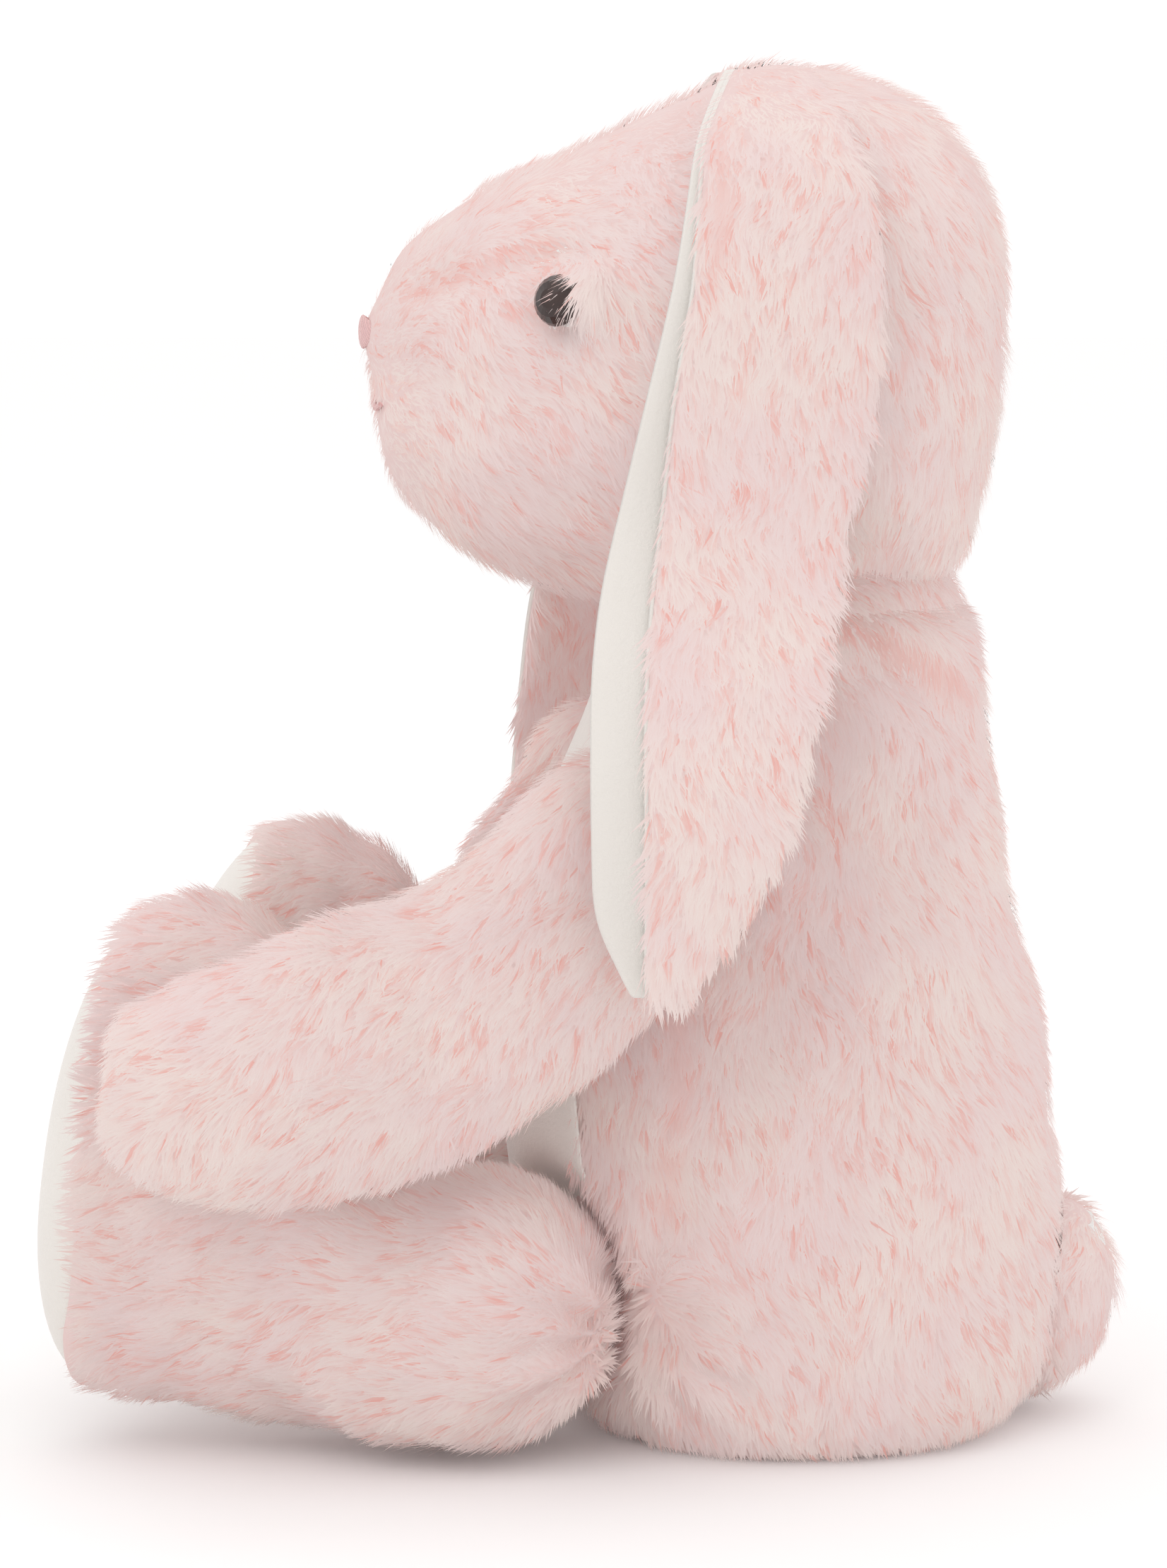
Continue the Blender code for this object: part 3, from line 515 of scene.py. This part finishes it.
# pink at the strands' roots and on the skin under the pile: partly the fabric's own pink base, partly painted shade
# deep in the pile, since the strands cast no shadow
ROOT_PINK_AND_PILE_SHADE = (0.70, 0.50, 0.475)
TIP_ROSE = (0.71, 0.60, 0.59)
TIP_CREAM = (0.73, 0.645, 0.61)
# pink of the random flecks, also used as painted shade in creases, hip pinches, ear roots and eye hollows
FLECK_AND_SHADE_PINK = (0.72, 0.385, 0.345)


def pile_look():
    along = node("ShaderNodeAttribute", {"attribute_name": "along"}, out=2)
    # per-strand pink weight: random flecks plus painted crease shade
    fleck = node("ShaderNodeAttribute", {"attribute_name": "fleck"}, out=2)
    warm = place_noise(38.0, 3.0)
    patch = node("ShaderNodeValToRGB", {"ramp": [(0.40, (0, 0, 0)), (0.62, (1, 1, 1))]}, {0: warm})
    tip = blend_colour(patch, TIP_ROSE, TIP_CREAM)
    # root-to-tip gradient: the two-tone pile, plus painted shade darkening towards the roots
    strand = blend_colour(along ** 0.7, ROOT_PINK_AND_PILE_SHADE, tip)
    away = node("ShaderNodeNewGeometry", out=6)      # a strand shows from its front only
    return {"Base Color": blend_colour(fleck, strand, FLECK_AND_SHADE_PINK), "Alpha": 1.0 - away, "Roughness": 0.85,
            "Specular IOR Level": 0.1, "Sheen Weight": 0.06, "Sheen Roughness": 0.6,
            "Sheen Tint": (1.0, 0.93, 0.90)}


def ground_look():
    warm = place_noise(60.0, 3.0)
    return {"Base Color": blend_colour(warm, ROOT_PINK_AND_PILE_SHADE, TIP_ROSE), "Roughness": 0.95, "Specular IOR Level": 0.1}


def nap(colour, deep, scale=900.0, strength=0.35):
    def build():
        grain = place_noise(scale, 4.0, 0.7)
        soft = place_noise(45.0, 3.0)
        colour_out = blend_colour(soft * 0.5 + grain * 0.25, colour, deep)
        bump = node("ShaderNodeBump", {}, {"Strength": strength, "Distance": 0.0006, "Height": grain})
        return {"Base Color": colour_out, "Roughness": 0.9, "Normal": bump, "Sheen Weight": 0.35,
                "Sheen Roughness": 0.5, "Specular IOR Level": 0.2}
    return build


def floss(colour):
    def build():
        lay = node("ShaderNodeTexWave", {"wave_type": "BANDS", "bands_direction": "DIAGONAL"},
                   {"Vector": node("ShaderNodeTexCoord", out=3), "Scale": 600.0, "Distortion": 1.5})
        bump = node("ShaderNodeBump", {}, {"Strength": 0.7, "Distance": 0.0003, "Height": lay})
        return {"Base Color": blend_colour(lay * 0.5, colour, tuple(0.7 * c for c in colour)),
                "Roughness": 0.55, "Normal": bump, "Sheen Weight": 0.2}
    return build


def fibre_look():
    wisps = place_noise(420.0, 6.0, 0.8)
    bump = node("ShaderNodeBump", {}, {"Strength": 0.8, "Distance": 0.001, "Height": wisps})
    return {"Base Color": blend_colour(wisps, (0.80, 0.79, 0.77), (0.93, 0.92, 0.90)), "Roughness": 0.95,
            "Normal": bump}


def eye_look():
    depth = place_noise(240.0, 2.0)
    return {"Base Color": blend_colour(depth, (0.016, 0.008, 0.007), (0.050, 0.026, 0.022)), "Roughness": 0.16,
            "Coat Weight": 0.25, "Specular IOR Level": 0.35}


def moulded_look():
    grain = place_noise(800.0, 2.0)
    bump = node("ShaderNodeBump", {}, {"Strength": 0.2, "Distance": 0.0002, "Height": grain})
    return {"Base Color": (0.80, 0.80, 0.78), "Roughness": 0.5, "Normal": bump}


def linen_look():
    weave = node("ShaderNodeTexChecker", {}, {"Vector": node("ShaderNodeTexCoord", out=3), "Scale": 900.0}, out=1)
    bump = node("ShaderNodeBump", {}, {"Strength": 0.6, "Distance": 0.0003, "Height": weave})
    return {"Base Color": blend_colour(weave, (0.66, 0.62, 0.54), (0.74, 0.70, 0.62)), "Roughness": 0.9,
            "Normal": bump}


PILE = new_material("pink_pile", pile_look)
GROUND = new_material("pink_pile_ground", ground_look)
CREAM = new_material("cream_nap", nap((0.74, 0.71, 0.67), (0.69, 0.655, 0.615)))
NOSE_FLOSS = new_material("nose_floss", floss((0.80, 0.50, 0.49)))
FIBRE = new_material("stuffing_fibre", fibre_look)
EYE = new_material("eye_gloss", eye_look)
MOULDED = new_material("washer_plastic", moulded_look)
LINEN = new_material("pouch_linen", linen_look)


# ------------------------------------------------------------------ the pile
def unit(v):
    return v / np.maximum(np.linalg.norm(v, axis=-1, keepdims=True), 1e-9)


def wobble(p, scale, seed):
    """A smooth value between -1 and 1 that changes over about scale millimetres."""
    r = np.random.default_rng(seed)
    total = np.zeros(len(p))
    for k in range(5):
        d = unit(r.normal(size=3)[None])[0]
        total += np.sin(p @ d * (2 * np.pi / scale) * (0.6 + 0.25 * k) + r.uniform(0, 6.28))
    return total / 3.2


def skin_samples(skin, density, seed):
    """Points spread evenly over a skin, with its smooth normals."""
    deps = bpy.context.evaluated_depsgraph_get()
    ev = skin.evaluated_get(deps)
    me = ev.to_mesh()
    me.calc_loop_triangles()
    co = np.empty(len(me.vertices) * 3)
    me.vertices.foreach_get("co", co)
    nor = np.empty(len(me.vertices) * 3)
    me.vertices.foreach_get("normal", nor)
    tri = np.empty(len(me.loop_triangles) * 3, dtype=np.int32)
    me.loop_triangles.foreach_get("vertices", tri)
    co, nor, tri = co.reshape(-1, 3) / MM, nor.reshape(-1, 3), tri.reshape(-1, 3)
    ev.to_mesh_clear()
    a, b, c = co[tri[:, 0]], co[tri[:, 1]], co[tri[:, 2]]
    area = np.linalg.norm(np.cross(b - a, c - a), axis=1) / 2
    r = np.random.default_rng(seed)
    n = int(area.sum() * density)
    pick = np.searchsorted(np.cumsum(area) / area.sum(), (np.arange(n) + r.random(n)) / n)
    pick = np.minimum(pick, len(tri) - 1)
    u, v = r.random(n), r.random(n)
    over = u + v > 1
    u[over], v[over] = 1 - u[over], 1 - v[over]
    w = (1 - u - v)[:, None]
    u, v = u[:, None], v[:, None]
    t = tri[pick]
    points = co[t[:, 0]] * w + co[t[:, 1]] * u + co[t[:, 2]] * v
    return points, unit(nor[t[:, 0]] * w + nor[t[:, 1]] * u + nor[t[:, 2]] * v)


def clump_centres(p, size, seed):
    """The nearest of a set of jittered cell points, for each point."""
    cell = np.floor(p / size).astype(np.int64)
    best = np.full(len(p), 1e18)
    out = np.zeros_like(p)
    for dx in (-1, 0, 1):
        for dy in (-1, 0, 1):
            for dz in (-1, 0, 1):
                c = cell + np.array([dx, dy, dz])
                h = (c[:, 0] * 73856093) ^ (c[:, 1] * 19349663) ^ (c[:, 2] * 83492791) ^ (seed * 2654435)
                j = np.stack([((h * m) % 9973) / 9973.0 for m in (31, 57, 101)], axis=1)
                q = (c + j) * size
                d = ((q - p) ** 2).sum(1)
                hit = d < best
                best[hit] = d[hit]
                out[hit] = q[hit]
    return out


def fleck_weight(tips, flow_dir, spacing, seed):
    """How pink each strand is: elongated flecks that follow the lie of the pile."""
    r = np.random.default_rng(seed)
    n = max(8, int(len(tips) / max(1.0, spacing)))
    pick = r.choice(len(tips), n, replace=False)
    tree = kdtree.KDTree(n)
    for k, i in enumerate(pick):
        tree.insert(tips[i], k)
    tree.balance()
    near = np.array([tree.find(p)[1] for p in tips])
    centre, d = tips[pick][near], flow_dir[pick][near]
    long_ = r.uniform(1.2, 4.6, n)[near]
    wide = r.uniform(0.40, 0.90, n)[near]
    strong = (r.random(n) ** 0.8)[near]
    off = tips - centre
    u = (off * d).sum(1)
    v2 = np.maximum((off ** 2).sum(1) - u * u, 0)
    return strong * np.exp(-(u / long_) ** 2 - v2 / wide ** 2)


def pile(name, skin, body, flow, length=6.4, density=2.0, width=0.56, keep=None, seed=1, short=None, fleck=1.0,
         lie=(27, 17), seams_and_painted_shade=None, raised=None):
    """Grows a dense pile of tapered strands on a skin, lying along flow.

    lie is how far a strand stands off the skin, in degrees, at its root and at its tip."""
    p, n = skin_samples(skin, density, seed)
    r = np.random.default_rng(seed + 100)
    if keep is not None:
        ok = keep(p, n)
        p, n = p[ok], n[ok]
    count = len(p)
    f = flow(p)
    g = unit(f - n * (f * n).sum(1, keepdims=True))
    b = np.cross(n, g)
    turn = np.radians(26 * wobble(p, 24.0, seed + 7) + 16 * wobble(p, 8.0, seed + 8) + r.normal(0, 9, count))
    g, b = (g * np.cos(turn)[:, None] + b * np.sin(turn)[:, None],
            b * np.cos(turn)[:, None] - g * np.sin(turn)[:, None])
    size = length * (0.84 + 0.12 * wobble(p, 17.0, seed + 9) + r.normal(0, 0.07, count))
    if short is not None:
        size = size * short(p)
    size = size[:, None]
    more = np.zeros(count) if raised is None else raised(p)
    up0 = np.radians(more + lie[0] + 7 * wobble(p, 13.0, seed + 3) + r.normal(0, 5, count))[:, None]
    up1 = np.radians(more + lie[1] + 6 * wobble(p, 10.0, seed + 4) + r.normal(0, 5, count))[:, None]
    mid = p + size * 0.32 * (n * np.sin(up0) + g * np.cos(up0))
    tip = mid + size * 0.68 * (n * np.sin(up1) + g * np.cos(up1))
    gather = clump_centres(p, 4.2, seed) - p
    gather -= n * (gather * n).sum(1, keepdims=True)
    fine = clump_centres(p, 1.9, seed + 1) - p
    fine -= n * (fine * n).sum(1, keepdims=True)
    mid = mid + gather * 0.10 + fine * 0.20
    tip = tip + gather * 0.34 + fine * 0.45
    for end in (mid, tip):
        end[:, 2] = np.maximum(end[:, 2], 0.15)
    # this strength scales the random flecks only; the painted crease shade joins them below at full strength
    pink = fleck * fleck_weight(tip, g, 20.0 * density / 2.0, seed + 5)
    # seam lines, and painted shade in creases, pinches and eye hollows, go into the pink weight
    if seams_and_painted_shade is not None:
        pink = np.maximum(pink, seams_and_painted_shade(tip))
    half = (b * (width / 2 * r.uniform(0.75, 1.2, count))[:, None])
    verts = np.stack([p - half * 0.6, p + half * 0.6, mid - half, mid + half, tip], axis=1)
    verts[:, :, 2] = np.maximum(verts[:, :, 2], FLOOR_GAP)
    face = unit(np.cross(tip - mid, b) * -1.0)
    face *= np.sign((face * n).sum(1, keepdims=True))
    shade = unit(face * 0.72 + n * 0.28)       # mostly the strand's own facing, partly the skin's
    along = np.tile(np.array([0.0, 0.0, 0.5, 0.5, 1.0]), (count, 1))
    along[:, 2:] *= (1 - 0.10 * r.random(count))[:, None]
    order = np.argsort(p[:, 2], kind="stable") if count > MOST_STRANDS else np.arange(count)
    parts = np.array_split(order, max(1, math.ceil(count / MOST_STRANDS)))
    for k, idx in enumerate(parts):
        tag = name if len(parts) == 1 else f"{name}_{'abcdefgh'[k]}"
        put(strands(tag, verts[idx], shade[idx], along[idx], np.clip(pink[idx], 0, 1)), body, "pink_plush")


def strands(name, verts, shade, along, pink):
    count = len(verts)
    me = bpy.data.meshes.new(name)
    me.vertices.add(count * 5)
    me.vertices.foreach_set("co", (verts * MM).astype(np.float32).ravel())
    base = (np.arange(count) * 5)[:, None]
    loops = base + np.array([1, 0, 2, 3, 3, 2, 4])
    me.loops.add(count * 7)
    me.loops.foreach_set("vertex_index", loops.astype(np.int32).ravel())
    me.polygons.add(count * 2)
    starts = (np.arange(count) * 7)[:, None] + np.array([0, 4])
    me.polygons.foreach_set("loop_start", starts.astype(np.int32).ravel())
    me.update(calc_edges=True)
    me.shade_smooth()
    # the pink weight holds the random flecks and the painted crease shade
    for key, values in (("along", along.ravel()), ("fleck", np.repeat(pink, 5))):
        attr = me.attributes.new(key, "FLOAT", "POINT")
        attr.data.foreach_set("value", values.astype(np.float32))
    me.normals_split_custom_set_from_vertices(np.repeat(shade, 5, axis=0).astype(np.float32))
    me.materials.append(PILE)
    ob = bpy.data.objects.new(name, me)
    ob.visible_shadow = False      # light sinks into the pile instead of stopping at each strand; the darker root colour is painted shade in its place
    ob.visible_diffuse = False
    return ob


# ------------------------------------------------------------------ lie of the pile
def head_flow(p):
    lean = np.radians(np.interp(p[:, 1], [-45, -20, 10, 45, 80], [8, 24, 42, 74, 96]))
    f = np.stack([0.12 * np.sign(p[:, 0]), np.cos(lean), -np.sin(lean)], axis=1)
    away = unit(p - NOSE)
    near = np.exp(-((p - NOSE) ** 2).sum(1) / 16.0 ** 2)[:, None]
    f = unit(f * (1 - near) + away * near)
    for c in EYES:
        brow = brow_weight(p, c)
        f = unit(f * (1 - brow[:, None]) + np.array([0, -0.45, -0.89]) * brow[:, None] * 1.4)
    return f


def brow_weight(p, c):
    d = p - c
    return np.exp(-(d ** 2).sum(1) / 9.0 ** 2) * np.clip((0.55 * d[:, 1] + d[:, 2] - 1.0) / 3.0, 0, 1)


def ear_flow(p):
    return np.tile(np.array([0.0, 0.06, -1.0]), (len(p), 1))


def from_pinch(p, f, side, reach):
    d = p - HIP_PINCH[side]
    k = np.exp(-(d ** 2).sum(1) / reach ** 2)[:, None]
    return unit(f * (1 - k) + unit(d) * k)


def body_flow(p):
    f = np.tile(np.array([0.0, 0.22, -1.0]), (len(p), 1))
    f = from_pinch(p, f, 1, 26.0)
    return from_pinch(p, f, -1, 26.0)


def arm_flow(p):
    lean = np.radians(np.interp(p[:, 1], [-80, -40, 10], [34, 40, 58]))
    return np.stack([np.zeros(len(p)), -np.cos(lean), -np.sin(lean)], axis=1)


def leg_flow(side):
    def f(p):
        lift = np.clip((p[:, 2] - 55) / 40, 0, 1)
        d = np.stack([np.zeros(len(p)), -np.ones(len(p)), -0.25 + 0.1 * lift], axis=1)
        return from_pinch(p, unit(d), side, 44.0)
    return f


def tail_flow(p):
    d = p - np.array([0, 96.0, TAIL_Z + 14])
    return unit(d * np.array([1, 0.2, 1]) + np.array([0, 0, -6.0]))


# ------------------------------------------------------------------ sculpting
def near_line(p, a, b):
    """Distance from points to a line piece, in the side view."""
    a, b = np.array(a, float), np.array(b, float)
    q = p[:, 1:]
    t = np.clip(((q - a) @ (b - a)) / ((b - a) @ (b - a)), 0, 1)
    return np.linalg.norm(q - (a + t[:, None] * (b - a)), axis=1)


def head_sculpt(p):
    side = np.abs(p[:, 0]) > 6
    seam = np.exp(-(near_line(p, (-32, 223.5), (-4, 232.5)) / 2.6) ** 2) * side
    eye = np.zeros(len(p))
    for c in EYES:
        brow = c + np.array([0, 5.2, 2.4])
        hollow = c + np.array([0, -4.0, -1.0])
        eye += 1.35 * np.exp(-((p - hollow) ** 2).sum(1) / 5.5 ** 2)
        eye -= 1.9 * np.exp(-((p - brow) ** 2).sum(1) / 4.6 ** 2)
    nape = np.exp(-(near_line(p, (73, 236), (72, 178)) / 3.0) ** 2) * side
    nose = np.exp(-((p - NOSE - np.array([0, 2, 0])) ** 2).sum(1) / 6.5 ** 2)
    return 2.0 * nose - 1.6 * seam - 2.4 * eye - 0.8 * nape + 0.5 * wobble(p, 30.0, 3)


def pinch_folds(p, side):
    d = p - HIP_PINCH[side]
    dist = np.linalg.norm(d, axis=1)
    ang = np.arctan2(d[:, 2], d[:, 1])
    return (-6.0 * np.exp(-(dist / 8.0) ** 2)
            + 1.9 * np.cos(ang * 11 + 0.8) * np.exp(-((dist - 12) / 12.0) ** 2))


# painted shade: pink painted around each hip pinch, where the folds gather
def pinch_painted_shade(p):
    near = sum(np.exp(-((p - HIP_PINCH[k]) ** 2).sum(1) / 11.0 ** 2) for k in (1, -1))
    return 0.8 * near * (0.7 + 0.3 * wobble(p, 6.0, 45))


def body_sculpt(p):
    side = np.abs(p[:, 0]) > 20
    crease = np.exp(-(near_line(p, (19, 88), (17, 44)) / 4.0) ** 2) * side
    fold = np.exp(-(near_line(p, (52, 155), (78, 140)) / 3.5) ** 2) * side
    above = np.clip(p[:, 2] / 10.0, 0, 1)
    beside = np.exp(-((near_line(p, (52, 155), (78, 140)) - 8.0) / 4.0) ** 2) * side
    shape = -2.0 * crease - 2.8 * fold + 1.6 * beside + 0.9 * wobble(p, 42.0, 11) + 0.5 * wobble(p, 19.0, 12)
    return above * (np.maximum(shape, DEEPEST) + pinch_folds(p, 1) + pinch_folds(p, -1))


def leg_sculpt(side):
    def f(p):
        above = np.clip(p[:, 2] / 8.0, 0, 1)
        return above * (pinch_folds(p, side) + 0.8 * wobble(p, 34.0, 21 + side) + 0.4 * wobble(p, 15.0, 23))
    return f


def limb_sculpt(seed):
    return lambda p: np.maximum(0.8 * wobble(p, 34.0, seed) + 0.4 * wobble(p, 15.0, seed + 1), -0.2)


# ------------------------------------------------------------------ camera, light, floor
TARGET = Vector((0.0, 0.0, 0.126))
DISTANCE = 1.02
ELEVATION = math.radians(7.0)


def set_the_stage():
    cam = bpy.data.cameras.new("camera")
    cam.sensor_fit = "VERTICAL"
    cam.sensor_height = 36.0
    cam.lens = 118.1
    ob = bpy.data.objects.new("camera", cam)
    bpy.context.scene.collection.objects.link(ob)
    ob.location = TARGET + Vector((math.cos(ELEVATION), 0, math.sin(ELEVATION))) * DISTANCE
    ob.rotation_euler = (TARGET - ob.location).to_track_quat("-Z", "Y").to_euler()
    bpy.context.scene.camera = ob
    bm = bmesh.new()
    bmesh.ops.create_grid(bm, x_segments=2, y_segments=2, size=6.0)
    floor_mat = new_material("studio_floor", lambda: {"Base Color": (0.94, 0.94, 0.94), "Roughness": 0.9,
                                                      "Specular IOR Level": 0.1})
    floor = object_from(bm, "studio_floor", floor_mat)
    bpy.context.scene.collection.objects.link(floor)
    world = bpy.data.worlds.new("studio")
    world.use_nodes = True
    world.node_tree.nodes["Background"].inputs[0].default_value = (1, 0.985, 0.98, 1)
    world.node_tree.nodes["Background"].inputs[1].default_value = 1.08
    bpy.context.scene.world = world
    bpy.context.scene.view_settings.view_transform = "Standard"
    for name, place, size, watts in (("key", (0.9, -0.75, 1.25), 1.1, 2.0), ("top", (0.0, 0.1, 1.6), 1.3, 2.6)):
        light = bpy.data.lights.new(name, "AREA")
        light.size = size
        light.energy = watts
        lo = bpy.data.objects.new(name, light)
        lo.location = place
        lo.rotation_euler = (Vector((0, 0, 0.12)) - lo.location).to_track_quat("-Z", "Y").to_euler()
        bpy.context.scene.collection.objects.link(lo)


# ------------------------------------------------------------------ build
def dress_cad():
    """The hidden solids and the small hard pieces keep their shape and get their finish."""
    for name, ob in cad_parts.items():
        if name.endswith("stuffing"):
            look = FIBRE
        elif name == "pellet_pouch":
            look = LINEN
        elif name.endswith("washer"):
            look = MOULDED
        elif name in ("left_eye", "right_eye"):
            look = EYE
        elif name.endswith("tack") or name.endswith("thread") or name == "nose_stitching":
            look = NOSE_FLOSS
        else:
            look = GROUND
        ob.data.materials.clear()
        ob.data.materials.append(look)


def build_head():
    EYES.extend(np.array(head_side_at(EYE_Y, EYE_Z, s)) for s in (1, -1))
    skin = stuffed("head_skin", head_skin_surface, 128, 96, GROUND, head_sculpt)
    put(skin, "head", "pink_plush", "head_gusset", "left_cheek", "right_cheek")
    def keep(p, n):
        ok = np.linalg.norm(p - NECK, axis=1) > 39.0
        for c in EYES:
            d = p - c
            front = d[:, 1] + 0.7 * d[:, 2] < 0.5
            ok &= np.linalg.norm(d, axis=1) > np.where(front, 3.6, 3.2)
        ok &= ~((p[:, 1] < -36) & (np.abs(p[:, 2] - 215.2) < 2.2) & (np.abs(p[:, 0]) < 4.2))
        return ok

    def short(p):
        face = np.clip((p[:, 1] + 42) / 30, 0, 1)
        out = 0.7 + 0.3 * face
        for c in EYES:
            d = p - c
            front = d[:, 1] + 0.7 * d[:, 2] < 0.5
            out = out * (1 - np.where(front, 0.2, 0.0) * np.exp(-(d ** 2).sum(1) / 9.0 ** 2))
            out = out * (1 + 0.45 * np.minimum(1, 1.5 * brow_weight(p, c)))
        return out

    # seam lines where the fur parts, plus painted shade in the eye hollows
    def seams_and_painted_shade(p):
        line = np.exp(-(near_line(p, (-32, 223.5), (-4, 232.5)) / 1.5) ** 2) * (np.abs(p[:, 0]) > 8)
        line += 0.8 * np.exp(-(near_line(p, (-13, 218.5), (-6, 219.5)) / 1.3) ** 2) * (np.abs(p[:, 0]) > 8)
        # painted shade: a pink ring in the hollow in front of each eye
        hollow_shade_ring = sum(np.exp(-((np.linalg.norm(p - c, axis=1) - 3.5) / 3.6) ** 2) * (p[:, 1] < c[1] + 1.0)
                   for c in EYES)
        return 0.95 * line * (0.65 + 0.35 * wobble(p, 6.0, 40)) + 0.7 * hollow_shade_ring

    pile("head_pile", skin, "head", head_flow, 6.6, 2.0, keep=keep, seed=11, short=short, seams_and_painted_shade=seams_and_painted_shade,
         raised=lambda p: 8.0 * np.minimum(1, 1.6 * sum(brow_weight(p, c) for c in EYES)))
    pile("brow_pile", skin, "head", head_flow, 8.4, 6.0, 0.5, seed=12, lie=(38, 10), fleck=0.4,
         keep=lambda p, n: (sum(brow_weight(p, c) for c in EYES) > 0.35)
         & np.all([np.linalg.norm(p - c, axis=1) > 2.6 for c in EYES], axis=0))


def build_body():
    skin = stuffed("body_skin", body_skin_surface, 96, 72, GROUND, body_sculpt)
    put(skin, "torso", "pink_plush", "left_body_panel", "right_body_panel", "seat_panel")
    belly = cloth_grid("belly_cloth", belly_surface, 24, 40, CREAM, (0, 40, 80), 1.0)
    put(belly, "torso", "cream_cloth", "belly_panel")

    def keep(p, n):
        edge = np.radians(np.interp(p[:, 2], [r[0] for r in BELLY_EDGE], [r[1] for r in BELLY_EDGE]))
        ang = np.abs(np.arctan2(p[:, 0], 41 - p[:, 1]))
        seat = (p[:, 2] < 1.6) & (n[:, 2] < -0.6)
        return (ang > edge * 0.86) & (p[:, 2] < 163) & ~seat

    def short(p):
        return 0.75 + 0.25 * np.clip(p[:, 2] / 14.0, 0, 1)

    # painted shade: pink painted along the neck fold and the body-leg crease, plus the hip pinches
    def painted_crease_shade(p):
        side = (np.abs(p[:, 0]) > 18) * (0.6 + 0.4 * wobble(p, 7.0, 44))
        lines = 1.15 * np.exp(-(near_line(p, (46, 161), (75, 144)) / 3.0) ** 2) + 0.7 * np.exp(
            -(near_line(p, (19, 86), (16, 48)) / 2.6) ** 2)
        return side * 0.8 * lines + pinch_painted_shade(p)

    pile("body_pile", skin, "torso", body_flow, 6.6, 1.9, keep=keep, seed=31, short=short, seams_and_painted_shade=painted_crease_shade)
    collar = stuffed("neck_skin", neck_surface, 48, 32, GROUND)
    put(collar, "neck", "pink_plush", "neck_plush")
    pile("neck_pile", collar, "neck", body_flow, 5.0, 1.6, seed=41,
         keep=lambda p, n: (p[:, 2] > 150) & (p[:, 2] < 172))


def build_ears():
    for side, word in ((1, "left"), (-1, "right")):
        body = word + "_ear"
        inside = (side * 60, 30, 180)
        skin = cloth_grid(word + "_ear_skin", ear_surface(side, EAR_HALF - 0.6, 0.6, 0.8), 22, 44, GROUND, inside,
                          1.2, 0.0)
        put(skin, body, "pink_plush", word + "_ear_outer")
        lining = cloth_grid(word + "_ear_cloth", ear_surface(side, EAR_LINING_HALF - 0.3, -0.2), 18, 44, CREAM,
                            inside, 1.2, 0.0)
        put(lining, body, "cream_cloth", word + "_ear_lining")

        def keep(p, n, side=side):
            rows = EAR_ALL[::-1]
            xm = np.interp(p[:, 2], [q[0] for q in rows], [q[1] for q in rows])
            yr = np.interp(p[:, 2], [q[0] for q in rows], [q[4] for q in rows])
            y = p[:, 1] + (0 if side > 0 else RIGHT_EAR_SHIFT + (252 - p[:, 2]) * RIGHT_EAR_SWING)
            out = (side * p[:, 0] - xm) * side * n[:, 0] > 0.2
            return out | (y > yr - 2.5) & (n[:, 1] > 0.2) | (n[:, 2] < -0.8)

        # painted shade: pink painted along the crease at the ear's root
        def root_crease_shade(p):
            return 0.8 * np.exp(-(near_line(p, (26, 254), (24, 222)) / 1.6) ** 2) * (0.6 + 0.4 * wobble(p, 7.0, 46))

        pile(word + "_ear_pile", skin, body, ear_flow, 6.2, 2.0, keep=keep, seed=51 + side, lie=(25, 15),
             seams_and_painted_shade=root_crease_shade)


def build_arms():
    for side, word in ((1, "left"), (-1, "right")):
        skin = stuffed(word + "_arm_skin", arm_skin_surface(side), 56, 72, GROUND, limb_sculpt(61 + side))
        put(skin, word + "_arm", "pink_plush", word + "_arm_outer", word + "_arm_inner")
        pile(word + "_arm_pile", skin, word + "_arm", arm_flow, 6.2, 2.0, seed=71 + side)


def build_legs():
    for side, word in ((1, "left"), (-1, "right")):
        skin = stuffed(word + "_leg_skin", leg_skin_surface(side), 64, 80, GROUND, leg_sculpt(side))
        put(skin, word + "_leg", "pink_plush", word + "_leg_outer", word + "_leg_inner")
        inside = Vector((side * 34, -60, 50))
        sole = cloth_grid(word + "_sole_cloth", sole_surface(side), 48, 14, CREAM, inside, 1.0)
        put(sole, word + "_leg", "cream_cloth", word + "_sole_pad")
        turn, along, _ = leg_frame(side)
        hip = np.array(turn.translation)
        ax = np.array((turn.to_3x3() @ along))

        def keep(p, n, hip=hip, ax=ax):
            s = (p - hip) @ ax
            front = (s > 60) & ((n @ ax) > 0.72) | (s > 71.5)
            low = (p[:, 2] < 1.4) & (n[:, 2] < -0.8)
            return ~front & ~low

        pile(word + "_leg_pile", skin, word + "_leg", leg_flow(side), 6.2, 1.9, keep=keep, seed=81 + side,
             seams_and_painted_shade=pinch_painted_shade)


def build_tail():
    skin = stuffed("tail_skin", tail_skin_surface, 32, 24, GROUND, limb_sculpt(91))
    put(skin, "tail", "pink_plush", "tail_cover")
    pile("tail_pile", skin, "tail", tail_flow, 6.8, 2.0, seed=93, keep=lambda p, n: n[:, 1] > -0.3)


set_the_stage()
dress_cad()
build_head()
build_body()
build_ears()
build_arms()
build_legs()
build_tail()
